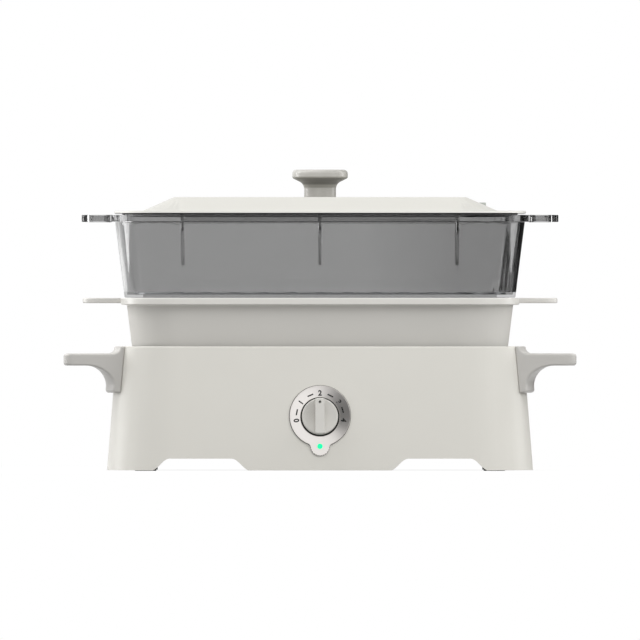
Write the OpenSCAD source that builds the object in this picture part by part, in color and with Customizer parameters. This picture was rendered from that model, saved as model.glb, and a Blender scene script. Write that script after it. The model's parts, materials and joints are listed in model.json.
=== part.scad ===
// Rectangular electric multicooker: a heating base with a dial, a pot that sits in its well,
// a transparent steamer on the pot, and a lid with a knob. Millimetres, +Z up, front towards -Y.

/* [Pot] */
// Width of the pot's wall just under its rim
pot_w = 328; // [300:1:360]
// Depth of the pot's wall, front to back, just under its rim
pot_d = 222; // [200:1:250]
// Plan radius of the pot's corners just under its rim
pot_corner_r = 47; // [35:1:60]
// Height of the pot's wall, from its foot to the underside of its rim
pot_h = 66.7; // [55:0.1:80]
// Outward lean of the pot's wall, in degrees
pot_lean = 7; // [4:0.5:9]
// Thickness of the pot's wall
pot_t = 3; // [2:0.1:4]
// Thickness of the pot's floor
pot_floor_t = 3.5; // [2.5:0.1:6]
// Size of the bevel round the pot's foot
pot_bevel = 6; // [3:0.5:9]
// Height of the pot's rim
rim_h = 5.9; // [4:0.1:8]
// Overhang of the rim beyond the pot's wall
rim_out = 5; // [3:0.5:8]
// Reach of each flat tab beyond the rim
tab_reach = 32.7; // [25:0.1:45]
// Length of each tab along the pot's side
tab_l = 110; // [80:1:140]
// Thickness of each tab
tab_t = 4.4; // [3:0.1:5.5]
// Plan radius of a tab's outer corners
tab_r = 12; // [6:1:20]

/* [Base housing] */
// Height of the housing's top above the table
base_h = 105.4; // [98:0.1:120]
// Inward lean of the housing's walls, in degrees
wall_lean = 4.6; // [3:0.1:6]
// Thickness of the housing's walls and top
shell_t = 3; // [2.4:0.1:3.6]
// Width of the land between the well and the housing's outer edge
rim_land = 8; // [6:0.5:12]
// Height of the housing's lower edge above the table
foot_gap = 0.5; // [0.3:0.1:1.5]
// Height of the cut-outs between the feet
arch_h = 10.4; // [7:0.1:13]
// Length of the curved ramp at each end of a cut-out
arch_ramp = 16.2; // [10:0.1:24]
// Width of the middle foot at the front and back
mid_foot_w = 117.3; // [90:0.1:140]
// Width of each front and back cut-out, ramps included
arch_w = 85; // [60:1:95]
// Width of the one cut-out in each side, ramps included
side_arch_w = 100; // [70:1:115]

/* [Bottom cover and feet] */
// Thickness of the bottom cover
cover_t = 2.5; // [2:0.1:3.5]
// Height of the cover above the top of the cut-outs
cover_rise = 1.6; // [1:0.1:3]
// Number of vent slots in each row of the cover
vent_count = 15; // [7:2:19]
// Distance between neighbouring vent slots
vent_pitch = 9; // [7:0.5:11]
// Length of a vent slot
vent_l = 36; // [20:1:44]
// Width of a vent slot
vent_w = 3; // [2:0.5:4]
// Radius of a rubber foot
foot_r = 9; // [6:0.5:11]
// Height of a rubber foot's pad
foot_h = 3.5; // [2.5:0.1:6]

/* [Well and heating plate] */
// Depth of the well, from the housing's top to the liner's floor
well_depth = 41.4; // [38:0.1:45]
// Sheet thickness of the well liner
liner_t = 1; // [0.8:0.1:1.5]
// Width of the heating plate
plate_w = 176; // [150:1:200]
// Depth of the heating plate
plate_d = 116; // [100:1:130]
// Thickness of the heating plate
plate_t = 8; // [7:0.1:10]
// Plan radius of the heating plate's corners
plate_r = 14; // [8:1:20]
// Height of the spacers under the heating plate
spacer_h = 1.7; // [1:0.1:3]
// Radius of the heater's tube
heater_r = 3.3; // [2.5:0.1:4]
// Half the distance between the heater's two legs
heater_half = 30; // [26:1:34]

/* [Temperature probe] */
// Radius of the probe's cap
probe_r = 11; // [9:0.1:12]
// Travel of the probe when it is pressed down
probe_travel = 2.5; // [1.5:0.1:4]
// Height of the probe's cap
probe_h = 13.7; // [12:0.1:16]
// Length of the probe's spring
spring_l = 20.7; // [18:0.1:24]
// Number of turns of the probe's spring
spring_turns = 7; // [5:1:9]

/* [Side handles] */
// Distance of each grip's tip from the housing's wall, at the top of the housing
grip_reach = 45.1; // [36:0.1:55]
// Length of each handle along the housing's side
handle_l = 184; // [150:1:200]
// Thickness of the grip
grip_t = 10.2; // [8:0.1:12]
// Depth of the grip's top under the housing's top
grip_drop = 6; // [4:0.1:9]
// Height of the whole bracket
bracket_h = 39.3; // [32:0.1:44]
// Thickness of the bracket where it lies on the wall
bracket_t = 6.6; // [5:0.1:9]
// Radius of the hollow curve under the grip
under_r = 17.2; // [12:0.1:20]
// Plan radius of the grip's outer corners
grip_r = 9; // [5:0.5:14]

/* [Dial] */
// Height of the control knob's centre above the table
knob_z = 45.8; // [44:0.1:49]
// Radius of the control knob
knob_r = 15.3; // [13:0.1:18]
// Height of the knob's grip bar above the housing
knob_h = 13; // [10:0.1:16]
// Width of the grip bar
bar_w = 8.2; // [6:0.1:10]
// Height of the knob's skirt above the housing
skirt_h = 5; // [4.2:0.1:7]
// Radius of the round part of the dial plate
dial_r = 26.3; // [24:0.1:30]
// Thickness of the dial plate
dial_t = 1; // [0.8:0.1:1.5]
// Distance of the lamp below the knob's centre
lamp_drop = 25.1; // [24.5:0.1:27]
// Radius of the lobe round the lamp
lobe_r = 8.1; // [7:0.1:9.5]
// Radius of the lamp's lens
lens_r = 2.2; // [1.5:0.1:2.5]
// Radius of the knob's shaft
shaft_r = 3; // [2.5:0.1:3.5]

/* [Power inlet] */
// Height of the inlet's centre above the table
inlet_z = 44.5; // [42:0.1:47]
// Width of the inlet's socket body
inlet_w = 24; // [20:1:28]
// Height of the inlet's socket body
inlet_h = 12.4; // [11:0.1:14]
// Wall thickness of the inlet's socket
inlet_t = 2; // [1.5:0.1:2.2]
// Depth of the shallow recess round the inlet
recess_depth = 2; // [1:0.1:2.5]

/* [Steamer] */
// Height of the steamer's box above the pot's rim
steamer_h = 70.5; // [60:0.5:90]
// Outward lean of the steamer's walls, in degrees
steamer_lean = 7.15; // [4:0.05:9]
// Step from the pot's wall out to the steamer's wall
steamer_step = 1.9; // [1:0.1:3]
// Thickness of the steamer's walls and floor
steamer_t = 2.5; // [2:0.1:3]
// Height of the steamer's rim
steamer_rim_h = 6; // [4:0.1:8]
// Overhang of the steamer's rim beyond its wall
steamer_rim_out = 2; // [1:0.1:4]
// Depth of the skirt that locates the steamer in the pot
skirt_depth = 7; // [5:0.5:10]
// Reach of each loop handle beyond the steamer's rim
loop_reach = 26.1; // [20:0.1:35]
// Length of each loop handle
loop_l = 120; // [100:1:140]
// Width of the bar round a loop handle's opening
loop_bar = 6; // [4:0.5:8]
// Depth of each stacking rib at the rim
rib_depth = 5.3; // [3:0.1:7]
// Thickness of each stacking rib
rib_t = 2.4; // [1.5:0.1:3.5]
// Distance between neighbouring stacking ribs
rib_pitch = 116.5; // [90:0.5:125]

/* [Steam tray] */
// Thickness of the steam tray
tray_t = 1.5; // [1:0.1:2.5]
// Gap between the tray's edge and the steamer's wall
tray_gap = 6; // [3:0.5:8]
// Radius of the tray's steam holes
tray_hole_r = 4; // [2:0.5:5]
// Distance between neighbouring steam holes
tray_pitch = 24; // [18:1:30]

/* [Lid] */
// Thickness of the lid's flat border
border_t = 1.9; // [1.5:0.1:2.5]
// Width of the lid's flat border
border_w = 24.1; // [18:0.1:30]
// Height of the lid's raised middle above the border
dome_h = 11.7; // [9:0.1:16]
// Width of the lid's sloping band
slope_w = 26.7; // [20:0.1:30]
// Upright thickness of the lid's sheet in the raised middle
lid_t = 2; // [1.5:0.1:2.5]
// Thickness of the seal under the border
seal_t = 1.2; // [1:0.1:2]
// Depth of the seal's lip inside the steamer's mouth
lip_depth = 2.9; // [2:0.1:5]
// Distance of the steam vent inwards from the foot of the lid's slope
vent_in = 12.5; // [8:0.1:18]
// Radius of the steam vent
vent_r = 3.1; // [2.5:0.1:4]

/* [Lid knob] */
// Radius of the lid knob's neck
neck_r = 13.6; // [11:0.1:16]
// Radius of the lid knob's head
head_r = 23.7; // [20:0.1:28]
// Height of the lid knob above the lid
lid_knob_h = 23.7; // [20:0.1:30]
// Height of the head's upright edge and its two rounded corners
head_h = 8.3; // [7:0.1:10]

/* [Fits] */
// Gap between the pot and the well liner
pot_gap = 3.5; // [2:0.1:5]
// Gap at rest under a piece that lifts off
seat_gap = 0.3; // [0.2:0.05:0.5]
// Sliding gap round a piece that drops into another
slip = 0.3; // [0.2:0.05:0.6]
// Radial clearance of a shaft in its bush
running = 0.05; // [0.02:0.01:0.1]
// Radial clearance round a screw or a seated insert
screw_gap = 0.1; // [0.05:0.05:0.3]

/* [Hidden] */
$fn = 64;

lean_in = tan(wall_lean);
pot_grow = tan(pot_lean);
steamer_grow = tan(steamer_lean);

// A plan outline is [half width, half depth, corner radius]; grown() offsets it outwards
function grown(plan, by) = [plan[0] + by, plan[1] + by, plan[2] + by];

// Heights
liner_floor_z = base_h - well_depth;
plate_z = liner_floor_z + spacer_h;
plate_top = plate_z + plate_t;
pot_z = plate_top + seat_gap;
rim_z = pot_z + pot_h;
rim_top = rim_z + rim_h;
steamer_z = rim_top + seat_gap;
steamer_top = steamer_z + steamer_h - seat_gap;
steamer_rim_z = steamer_top - steamer_rim_h;
tray_z = steamer_z + steamer_t + seat_gap;
seal_z = steamer_top + seat_gap;
border_z = seal_z + seal_t;
dome_z = border_z + border_t;
lid_top = dome_z + dome_h;

// Plan outlines
pot_mouth = [pot_w / 2, pot_d / 2, pot_corner_r];
function pot_at(z) = grown(pot_mouth, (z - rim_z) * pot_grow);
function liner_at(z) = grown(pot_at(z), pot_gap);
well_mouth = grown(liner_at(base_h), liner_t + slip);
base_top = grown(well_mouth, rim_land);
function base_at(z) = grown(base_top, (base_h - z) * lean_in);
function steamer_at(z) = grown(pot_at(rim_z), steamer_step + (z - steamer_z) * steamer_grow);
steamer_rim = grown(steamer_at(steamer_rim_z), steamer_rim_out + 0.5);
lid_edge = grown(steamer_rim, -1.6);
dome_foot = grown(lid_edge, -border_w);
vent_x = dome_foot[0] - vent_in;

// The knob stands out in front, so the housing's middle lies a little behind the origin
front_reach = base_at(knob_z)[1] + knob_h * cos(wall_lean) + knob_r * sin(wall_lean);
mid_y = (front_reach - base_at(foot_gap)[1]) / 2;

// Bottom cover and its fixings
cover_z = arch_h + cover_rise;
cover_top = cover_z + cover_t;
boss_r = 5;
boss_h = 20;
thread_r = 1.5;
screw_r = 1.5;
corner_x = base_top[0] - base_top[2];
corner_y = base_top[1] - base_top[2];
boss_in = base_at(cover_top)[2] - shell_t - 4;
boss_angle = 15;
boss_x = corner_x + boss_in * cos(boss_angle);
boss_y = corner_y + boss_in * sin(boss_angle);
mid_boss_x = mid_foot_w / 2;
mid_boss_y = base_at(cover_top)[1] - shell_t - 4;
foot_in = base_at(cover_top)[2] - shell_t - foot_r - 3;
foot_angle = 50;
foot_x = corner_x + foot_in * cos(foot_angle);
foot_y = corner_y + foot_in * sin(foot_angle);
cover_points = [for (sx = [-1, 1], sy = [-1, 1]) each [
    [sx * boss_x, sy * boss_y],
    [sx * mid_boss_x, sy * mid_boss_y]
]];

// Heating plate and heater
spacer_x = plate_w / 2 - 8;
spacer_y = plate_d / 2 - 8;
spacer_r = 5;
plate_screw_r = 2;
plate_head_r = 4;
plate_head_h = 2.4;
plate_bite = 4.5;
heater_x = 55;
heater_back = 30;
elbow_r = 9;
heater_drop = 5;
pin_l = 8;
pin_r = 1.2;
elbow_x = heater_x + elbow_r;
elbow_z = plate_z - elbow_r;
pin_top = elbow_z - heater_drop;

// Fuse and wires
fuse_x = 24;
fuse_l = 20;
fuse_w = 8;
fuse_t = 5;
wire_rise = 12;

// Probe
cap_top_t = 1.5;
cap_z = plate_top - probe_h;
spring_top = plate_top - cap_top_t;
spring_z = spring_top - spring_l;
holder_t = 1.5;
holder_r = probe_r + running + holder_t;
holder_top = plate_top - probe_travel - 0.2;

// Dial, switch and lamp, in the front wall's own frame
plate_rise = 0.8;
ring_gap = 1.3;
bush_r = 4.6;
bracket_sheet = 2;
switch_w = 28;
switch_t = 22;
switch_front = -shell_t - bracket_sheet;
switch_back = switch_front - switch_t;
tab_len = 10;
shaft_back = switch_back + 5;
shaft_front = knob_h - 2;
board_w = 22;
board_h = 12;
board_t = 1.6;
board_front = switch_front - 5;
bracket_low = lamp_drop + 4.4;
bracket_up = 15;
plate_half = switch_w / 2 + 3;

// Inlet, in the side wall's own frame
inlet_face = -0.7;
inlet_back = -20;
pin_half = 5;
contact_r = 1.6;
contact_back = inlet_back - 6;
pad_back = -recess_depth - 3;
flange_half = inlet_w / 2 + 6;
recess_up = 11.3;
recess_down = 19.3;
recess_half = 24;

// Handles
handle_screw_z = base_h - 25.4;
handle_screw_pitch = 56;
side_head_r = 3.5;
side_head_h = 2.2;
side_bite = 6;
handle_foot_z = base_h - bracket_h;
grip_top_z = base_h - grip_drop;
grip_z = grip_top_z - grip_t;
handle_gap = 0.1;
grip_tip = base_top[0] + grip_reach;

// Lid knob
lid_screw_r = 2;
washer_r = 9;
washer_t = 1.2;

// Shared forms

module rounded(plan) {
    r = plan[2];
    square([2 * plan[0], 2 * (plan[1] - r)], center = true);
    square([2 * (plan[0] - r), 2 * plan[1]], center = true);
    for (sx = [-1, 1], sy = [-1, 1])
        translate([sx * (plan[0] - r), sy * (plan[1] - r)])
            circle(r);
}

module slab(z0, z1, plan) {
    translate([0, 0, z0])
        linear_extrude(z1 - z0)
            rounded(plan);
}

// A block whose walls all lean out by grow for each millimetre of height, from plan at z0
module leaning(z0, z1, plan, grow) {
    h = z1 - z0;
    out = grow * h;
    r = plan[2];
    for (sx = [-1, 1], sy = [-1, 1])
        translate([sx * (plan[0] - r), sy * (plan[1] - r), z0])
            cylinder(h = h, r1 = r, r2 = r + out);
    rotate([90, 0, 0])
        linear_extrude(2 * (plan[1] - r), center = true)
            polygon([[-plan[0], z0], [plan[0], z0], [plan[0] + out, z1], [-plan[0] - out, z1]]);
    rotate([90, 0, 90])
        linear_extrude(2 * (plan[0] - r), center = true)
            polygon([[-plan[1], z0], [plan[1], z0], [plan[1] + out, z1], [-plan[1] - out, z1]]);
}

module ring(z0, z1, outer, inner) {
    translate([0, 0, z0])
        linear_extrude(z1 - z0)
            difference() {
                rounded(outer);
                rounded(inner);
            }
}

module tube(z0, z1, outer, inner) {
    translate([0, 0, z0])
        difference() {
            cylinder(h = z1 - z0, r = outer);
            translate([0, 0, -1])
                cylinder(h = z1 - z0 + 2, r = inner);
        }
}

// A closed skin through rings of equally many points
module loft(rings) {
    n = len(rings[0]);
    last = len(rings) - 1;
    polyhedron(
        points = [for (ring = rings) each ring],
        faces = [
            [for (i = [0 : n - 1]) i],
            for (k = [0 : last - 1], i = [0 : n - 1]) each [
                [k * n + i, (k + 1) * n + i, (k + 1) * n + (i + 1) % n],
                [k * n + i, (k + 1) * n + (i + 1) % n, k * n + (i + 1) % n]
            ],
            [for (i = [n - 1 : -1 : 0]) last * n + i]
        ],
        convexity = 6
    );
}

// Places a piece in the housing's own frame, whose middle lies behind the origin
module in_base() {
    translate([0, mid_y, 0])
        children();
}

// Frame of the front wall at height z: X to the right, Y up the wall, Z out of it
module on_front(z) {
    in_base()
        translate([0, -base_at(z)[1], z])
            rotate([90 - wall_lean, 0, 0])
                children();
}

// The same for a side wall: side is 1 on the right and -1 on the left
module on_side(side, z) {
    in_base()
        translate([side * base_at(z)[0], 0, z])
            rotate([0, 0, side * 90])
                rotate([90 - wall_lean, 0, 0])
                    children();
}

module screw(head_r, head_h, shank_r, length) {
    translate([0, 0, -head_h])
        cylinder(h = head_h, r = head_r);
    cylinder(h = length, r = shank_r);
}

// Base

// Outline of one cut-out, w wide at the table, with curved ramps at both ends
module arch(w) {
    steps = 8;
    rise = [for (i = [0 : steps]) [i / steps * arch_ramp, arch_h * (1 - cos(180 * i / steps)) / 2]];
    polygon(concat(
        [[-w / 2, -1]],
        [for (p = rise) [p[0] - w / 2, p[1]]],
        [for (i = [steps : -1 : 0]) [w / 2 - rise[i][0], rise[i][1]]],
        [[w / 2, -1]]
    ));
}

module arches() {
    long = 2 * base_at(0)[0];
    for (side = [-1, 1])
        translate([side * (mid_foot_w + arch_w) / 2, 0, 0])
            rotate([90, 0, 0])
                linear_extrude(long, center = true)
                    arch(arch_w);
    rotate([90, 0, 90])
        linear_extrude(2 * long, center = true)
            arch(side_arch_w);
}

module base_shell() {
    color("#d6d3cc")
        difference() {
            union() {
                in_base()
                    difference() {
                        leaning(foot_gap, base_h, base_at(foot_gap), -lean_in);
                        leaning(-1, base_h - shell_t, grown(base_at(-1), -shell_t), -lean_in);
                        slab(base_h - shell_t - 1, base_h + 1, well_mouth);
                        slab(base_h - liner_t - 0.2, base_h + 1, grown(well_mouth, 4));
                        arches();
                    }
                in_base()
                    for (p = cover_points)
                        translate([p[0], p[1], cover_top])
                            cylinder(h = boss_h, r = boss_r);
                on_side(1, inlet_z)
                    translate([-recess_half - 4, -recess_down - 4, pad_back])
                        cube([2 * recess_half + 8, recess_down + recess_up + 8, 3]);
            }
            in_base()
                for (p = cover_points)
                    translate([p[0], p[1], cover_top - 1])
                        cylinder(h = boss_h - 3, r = thread_r);
            on_side(1, inlet_z) {
                translate([-recess_half, -recess_down, -recess_depth])
                    cube([2 * recess_half, recess_down + recess_up, recess_depth + 2]);
                translate([-inlet_w / 2 - slip, -inlet_h / 2 - slip, pad_back - 1])
                    cube([inlet_w + 2 * slip, inlet_h + 2 * slip, 8]);
                for (s = [-1, 1])
                    translate([s * (inlet_w / 2 + 3), 0, pad_back - 1])
                        cylinder(h = 3, r = 1);
            }
            on_front(knob_z) {
                translate([0, 0, -shell_t - 1])
                    cylinder(h = shell_t + 2, r = bush_r + slip);
                translate([0, -lamp_drop, -shell_t - 1])
                    cylinder(h = shell_t + 2, r = lens_r + screw_gap);
            }
            for (side = [-1, 1])
                on_side(side, handle_screw_z)
                    for (i = [-1 : 1])
                        translate([i * handle_screw_pitch, 0, -shell_t - 1])
                            cylinder(h = shell_t + 2, r = 2);
        }
}

module bottom_cover() {
    color("#b9b7b1")
        in_base()
            difference() {
                union() {
                    slab(cover_z, cover_top, grown(base_at(cover_top), -shell_t - 0.4));
                    for (sx = [-1, 1], sy = [-1, 1])
                        translate([sx * foot_x, sy * foot_y, foot_h])
                            cylinder(h = cover_z - foot_h + 0.5, r = foot_r);
                }
                for (sx = [-1, 1], sy = [-1, 1])
                    translate([sx * foot_x, sy * foot_y, 0])
                        cylinder(h = foot_h + 5, r = foot_r / 2 + screw_gap);
                for (p = cover_points)
                    translate([p[0], p[1], cover_z - 1]) {
                        cylinder(h = cover_t + 2, r = screw_r + screw_gap);
                        cylinder(h = 2.2, r = 3.2);
                    }
                for (row = [-1, 1], i = [0 : vent_count - 1])
                    translate([(i - (vent_count - 1) / 2) * vent_pitch, row * vent_l * 0.8, cover_z + 1])
                        cube([vent_w, vent_l, cover_t * 3], center = true);
            }
}

module cover_screws() {
    color("#8f9295")
        in_base()
            for (p = cover_points)
                translate([p[0], p[1], cover_z + 1.2])
                    screw(3, 1.1, screw_r, cover_t + boss_h - 8);
}

module rubber_feet() {
    color("#4a4a4a")
        in_base()
            for (sx = [-1, 1], sy = [-1, 1])
                translate([sx * foot_x, sy * foot_y, 0]) {
                    cylinder(h = foot_h, r = foot_r);
                    cylinder(h = foot_h + 4.5, r = foot_r / 2);
                }
}

module well_liner() {
    z0 = liner_floor_z - liner_t;
    lip_z = base_h - liner_t - 0.2;
    color("#c4c4c2")
        in_base()
            difference() {
                union() {
                    leaning(z0, base_h - 0.2, grown(liner_at(z0), liner_t), pot_grow);
                    slab(lip_z, base_h - 0.2, grown(well_mouth, 4 - slip));
                }
                leaning(liner_floor_z, base_h + 1, liner_at(liner_floor_z), pot_grow);
                slab(z0 - 1, liner_floor_z + 1, [plate_w / 2 - 14, plate_d / 2 - 13, 10]);
                for (sx = [-1, 1], sy = [-1, 1])
                    translate([sx * spacer_x, sy * spacer_y, z0 - 1])
                        cylinder(h = 4, r = plate_screw_r + screw_gap);
            }
}

// The heater's bent tube; extra widens it to cut its groove
module heater_path(extra) {
    r = heater_r + extra;
    translate([-heater_back, 0, plate_z])
        rotate([0, 0, 90])
            rotate_extrude(angle = 180)
                translate([heater_half, 0])
                    circle(r);
    for (s = [-1, 1])
        translate([0, s * heater_half, 0]) {
            translate([-heater_back, 0, plate_z])
                rotate([0, 90, 0])
                    cylinder(h = heater_x + heater_back, r = r);
            translate([heater_x, 0, elbow_z])
                rotate([90, 0, 0])
                    rotate_extrude(angle = 90)
                        translate([elbow_r, 0])
                            circle(r);
            translate([elbow_x, 0, pin_top])
                cylinder(h = heater_drop, r = r);
        }
}

module heating_plate() {
    color("#b4b5b6")
        in_base()
            difference() {
                slab(plate_z, plate_top, [plate_w / 2, plate_d / 2, plate_r]);
                translate([0, 0, plate_z - 1])
                    cylinder(h = plate_t + 2, r = holder_r + 0.5);
                heater_path(0.05);
                for (sx = [-1, 1], sy = [-1, 1])
                    translate([sx * spacer_x, sy * spacer_y, plate_z - 1])
                        cylinder(h = 6.5, r = plate_screw_r + screw_gap);
            }
}

module heater_tube() {
    color("#77706a")
        in_base()
            heater_path(0);
}

module heater_pins() {
    color("#c9a24a")
        in_base()
            for (s = [-1, 1])
                translate([elbow_x, s * heater_half, pin_top - pin_l])
                    cylinder(h = pin_l, r = pin_r);
}

module plate_spacers() {
    color("#9a9c9e")
        in_base()
            for (sx = [-1, 1], sy = [-1, 1])
                translate([sx * spacer_x, sy * spacer_y, 0])
                    tube(liner_floor_z, plate_z, spacer_r, plate_screw_r + screw_gap);
}

module plate_screws() {
    color("#8f9295")
        in_base()
            for (sx = [-1, 1], sy = [-1, 1])
                translate([sx * spacer_x, sy * spacer_y, liner_floor_z - liner_t])
                    screw(plate_head_r, plate_head_h, plate_screw_r, liner_t + spacer_h + plate_bite);
}

module probe_holder() {
    floor_z = spring_z - holder_t;
    color("#9fa1a3")
        in_base()
            difference() {
                union() {
                    translate([0, 0, floor_z])
                        cylinder(h = holder_top - floor_z, r = holder_r);
                    translate([0, 0, plate_z - 1.5])
                        cylinder(h = 1.5, r = holder_r + 5);
                }
                translate([0, 0, spring_z])
                    cylinder(h = spring_l + 5, r = probe_r + running);
                translate([0, 0, floor_z - 1])
                    cylinder(h = holder_t + 2, r = 3);
            }
}

module probe_cap() {
    color("#d2d3d4")
        in_base()
            difference() {
                translate([0, 0, cap_z])
                    cylinder(h = probe_h, r = probe_r);
                translate([0, 0, cap_z - 1])
                    cylinder(h = probe_h - cap_top_t + 1, r = probe_r - 1.4);
            }
}

module probe_sensor() {
    color("#2d2d2f")
        in_base()
            translate([0, 0, spring_top - 7])
                cylinder(h = 7, r = 2.5);
}

module probe_spring() {
    wire_r = 0.6;
    coil_r = 6.5;
    sides = 6;
    per_turn = 12;
    count = spring_turns * per_turn;
    rise = spring_l - 2 * wire_r;
    rings = [for (k = [0 : count])
        let (a = 360 * k / per_turn, z = spring_z + wire_r + rise * k / count)
            [for (i = [0 : sides - 1])
                let (b = 360 * i / sides, d = coil_r + wire_r * cos(b))
                    [d * cos(a), d * sin(a), z + wire_r * sin(b)]]];
    color("#aeb0b2")
        in_base()
            loft(rings);
}

module thermal_fuse() {
    color("#e6e1d4")
        in_base()
            translate([fuse_x, -fuse_w / 2, plate_z - fuse_t])
                cube([fuse_l, fuse_w, fuse_t]);
}

module fuse_clip() {
    side = fuse_w / 2 + 0.2;
    low = fuse_t + 0.2;
    foot = side + 5.8;
    color("#9fa1a3")
        in_base()
            translate([fuse_x + 6, 0, plate_z])
                rotate([90, 0, 90])
                    linear_extrude(fuse_l - 12)
                        polygon([
                            [-foot, 0], [-foot, -1], [-side - 1, -1], [-side - 1, -low - 1],
                            [side + 1, -low - 1], [side + 1, -1], [foot, -1], [foot, 0],
                            [side, 0], [side, -low], [-side, -low], [-side, 0]
                        ]);
}

// Side handles

// Outer face of the right wall at depth y and height z, on the corner's curve too
function wall_x(y, z) =
    let (plan = base_at(z), past = max(0, abs(y) - plan[1] + plan[2]))
        plan[0] - plan[2] + sqrt(plan[2] * plan[2] - past * past);

function grip_x(y) =
    let (past = max(0, abs(y) - handle_l / 2 + grip_r))
        grip_tip - grip_r + sqrt(max(0, grip_r * grip_r - past * past));

// Cross-section of the right handle at depth y, anticlockwise seen from the front
function handle_ring(y) =
    let (
        edge = 1.7,
        under_z = grip_z - under_r,
        under_x = base_at(under_z)[0] + bracket_t + under_r,
        foot_x0 = wall_x(y, handle_foot_z),
        back_x = wall_x(y, under_z) + bracket_t,
        top_x = wall_x(y, base_h),
        tip = grip_x(y),
        rise = base_h - grip_top_z
    )
        concat(
            [[foot_x0 + handle_gap, y, handle_foot_z], [foot_x0 + bracket_t - 1, y, handle_foot_z]],
            [[foot_x0 + bracket_t, y, handle_foot_z + 1]],
            [for (t = [0 : 15 : 90])
                [under_x - (under_x - back_x) * cos(t), y, under_z + under_r * sin(t)]],
            [[tip - edge, y, grip_z], [tip, y, grip_z + edge]],
            [[tip, y, grip_top_z - edge], [tip - edge, y, grip_top_z]],
            [for (t = [90 : -22.5 : 0])
                [top_x + bracket_t - 4.6 * cos(t), y, base_h - rise * sin(t)]],
            [[top_x + handle_gap, y, base_h]]
        );

module right_bracket() {
    flat = handle_l / 2 - grip_r;
    bend = min(corner_y, flat - 1);
    steps = 6;
    rest = [for (i = [0 : steps]) bend + (flat - bend) * i / steps];
    front = [for (a = [90 : -15 : 15]) -flat - grip_r * sin(a)];
    middle = concat([for (i = [steps : -1 : 0]) -rest[i]], rest);
    back = [for (a = [15 : 15 : 90]) flat + grip_r * sin(a)];
    difference() {
        loft([for (y = concat(front, middle, back)) handle_ring(y)]);
        for (i = [-1 : 1])
            translate([base_at(handle_screw_z)[0], i * handle_screw_pitch, handle_screw_z])
                rotate([0, 90 - wall_lean, 0])
                    translate([0, 0, -1])
                        cylinder(h = 8, r = screw_r + screw_gap);
    }
}

module right_handle() {
    color("#b5b3ae")
        in_base()
            right_bracket();
}

module left_handle() {
    color("#b5b3ae")
        in_base()
            mirror([1, 0, 0])
                right_bracket();
}

module handle_screws() {
    color("#8f9295")
        for (side = [-1, 1])
            on_side(side, handle_screw_z)
                for (i = [-1 : 1])
                    translate([i * handle_screw_pitch, 0, -shell_t])
                        screw(side_head_r, side_head_h, screw_r, shell_t + side_bite);
}

// Dial, switch and lamp

// The dial plate without its holes: a disc and a lobe, joined by hollow fillets
module dial_blank() {
    fillet = 4;
    far = dial_r + fillet;
    near = lobe_r + fillet;
    lobe_y = -lamp_drop - 0.4;
    span = plate_rise - lobe_y;
    down = (far * far - near * near + span * span) / (2 * span);
    across = sqrt(far * far - down * down);
    fillet_y = plate_rise - down;
    translate([0, plate_rise, 0])
        cylinder(h = dial_t, r = dial_r);
    translate([0, lobe_y, 0])
        cylinder(h = dial_t, r = lobe_r);
    difference() {
        linear_extrude(dial_t)
            polygon([[0, plate_rise], [across, fillet_y], [0, lobe_y], [-across, fillet_y]]);
        for (s = [-1, 1])
            translate([s * across, fillet_y, -1])
                cylinder(h = dial_t + 2, r = fillet);
    }
}

module dial_plate() {
    color("#bdb9b4")
        on_front(knob_z)
            difference() {
                dial_blank();
                translate([0, 0, -1])
                    cylinder(h = dial_t + 2, r = knob_r + ring_gap);
                translate([0, -lamp_drop, -1])
                    cylinder(h = dial_t + 2, r = lens_r + screw_gap);
            }
}

module lamp_lens() {
    color("#12f29b")
        on_front(knob_z)
            translate([0, -lamp_drop, 0]) {
                translate([0, 0, -shell_t])
                    cylinder(h = shell_t + dial_t + 0.2, r = lens_r);
                translate([0, 0, -shell_t - 0.9])
                    cylinder(h = 0.9, r = lens_r + 0.7);
            }
}

module lamp() {
    color("#e9f5ee")
        on_front(knob_z)
            translate([0, -lamp_drop, board_front])
                cylinder(h = -shell_t - 1.2 - board_front, r = 2.4);
}

module lamp_board() {
    color("#2f6b45")
        on_front(knob_z)
            translate([-board_w / 2, -lamp_drop - 2.9, board_front - board_t])
                cube([board_w, board_h, board_t]);
}

module switch_bracket() {
    color("#a3a5a7")
        on_front(knob_z) {
            difference() {
                translate([-plate_half, -bracket_low, switch_front])
                    cube([2 * plate_half, bracket_low + bracket_up, bracket_sheet]);
                translate([0, 0, switch_front - 1])
                    cylinder(h = bracket_sheet + 2, r = bush_r + screw_gap);
                translate([0, -lamp_drop, switch_front - 1])
                    cylinder(h = bracket_sheet + 2, r = lens_r + 1);
            }
            for (s = [-1, 1])
                translate([s * (board_w / 2 - 2.5), -lamp_drop + 3, board_front])
                    cylinder(h = switch_front - board_front, r = 1.5);
        }
}

module thermostat() {
    color("#39393b")
        on_front(knob_z)
            difference() {
                union() {
                    translate([-switch_w / 2, -switch_w / 2, switch_back])
                        cube([switch_w, switch_w, switch_t]);
                    translate([0, 0, switch_front])
                        cylinder(h = 1.8 - switch_front, r = bush_r);
                }
                translate([0, 0, shaft_back - 1])
                    cylinder(h = 10 - shaft_back, r = shaft_r + running);
            }
}

module switch_tabs() {
    color("#c9a24a")
        on_front(knob_z)
            for (x = [-8, 8])
                translate([x - 3, -0.4, switch_back - tab_len])
                    cube([6, 0.8, tab_len]);
}

module bush_nut() {
    color("#8f9295")
        on_front(knob_z)
            difference() {
                cylinder(h = 1.6, r = 7, $fn = 6);
                translate([0, 0, -1])
                    cylinder(h = 4, r = bush_r + 0.02);
            }
}

module knob_shaft() {
    color("#a8aaac")
        on_front(knob_z)
            translate([0, 0, shaft_back])
                cylinder(h = shaft_front - shaft_back, r = shaft_r);
}

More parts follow.
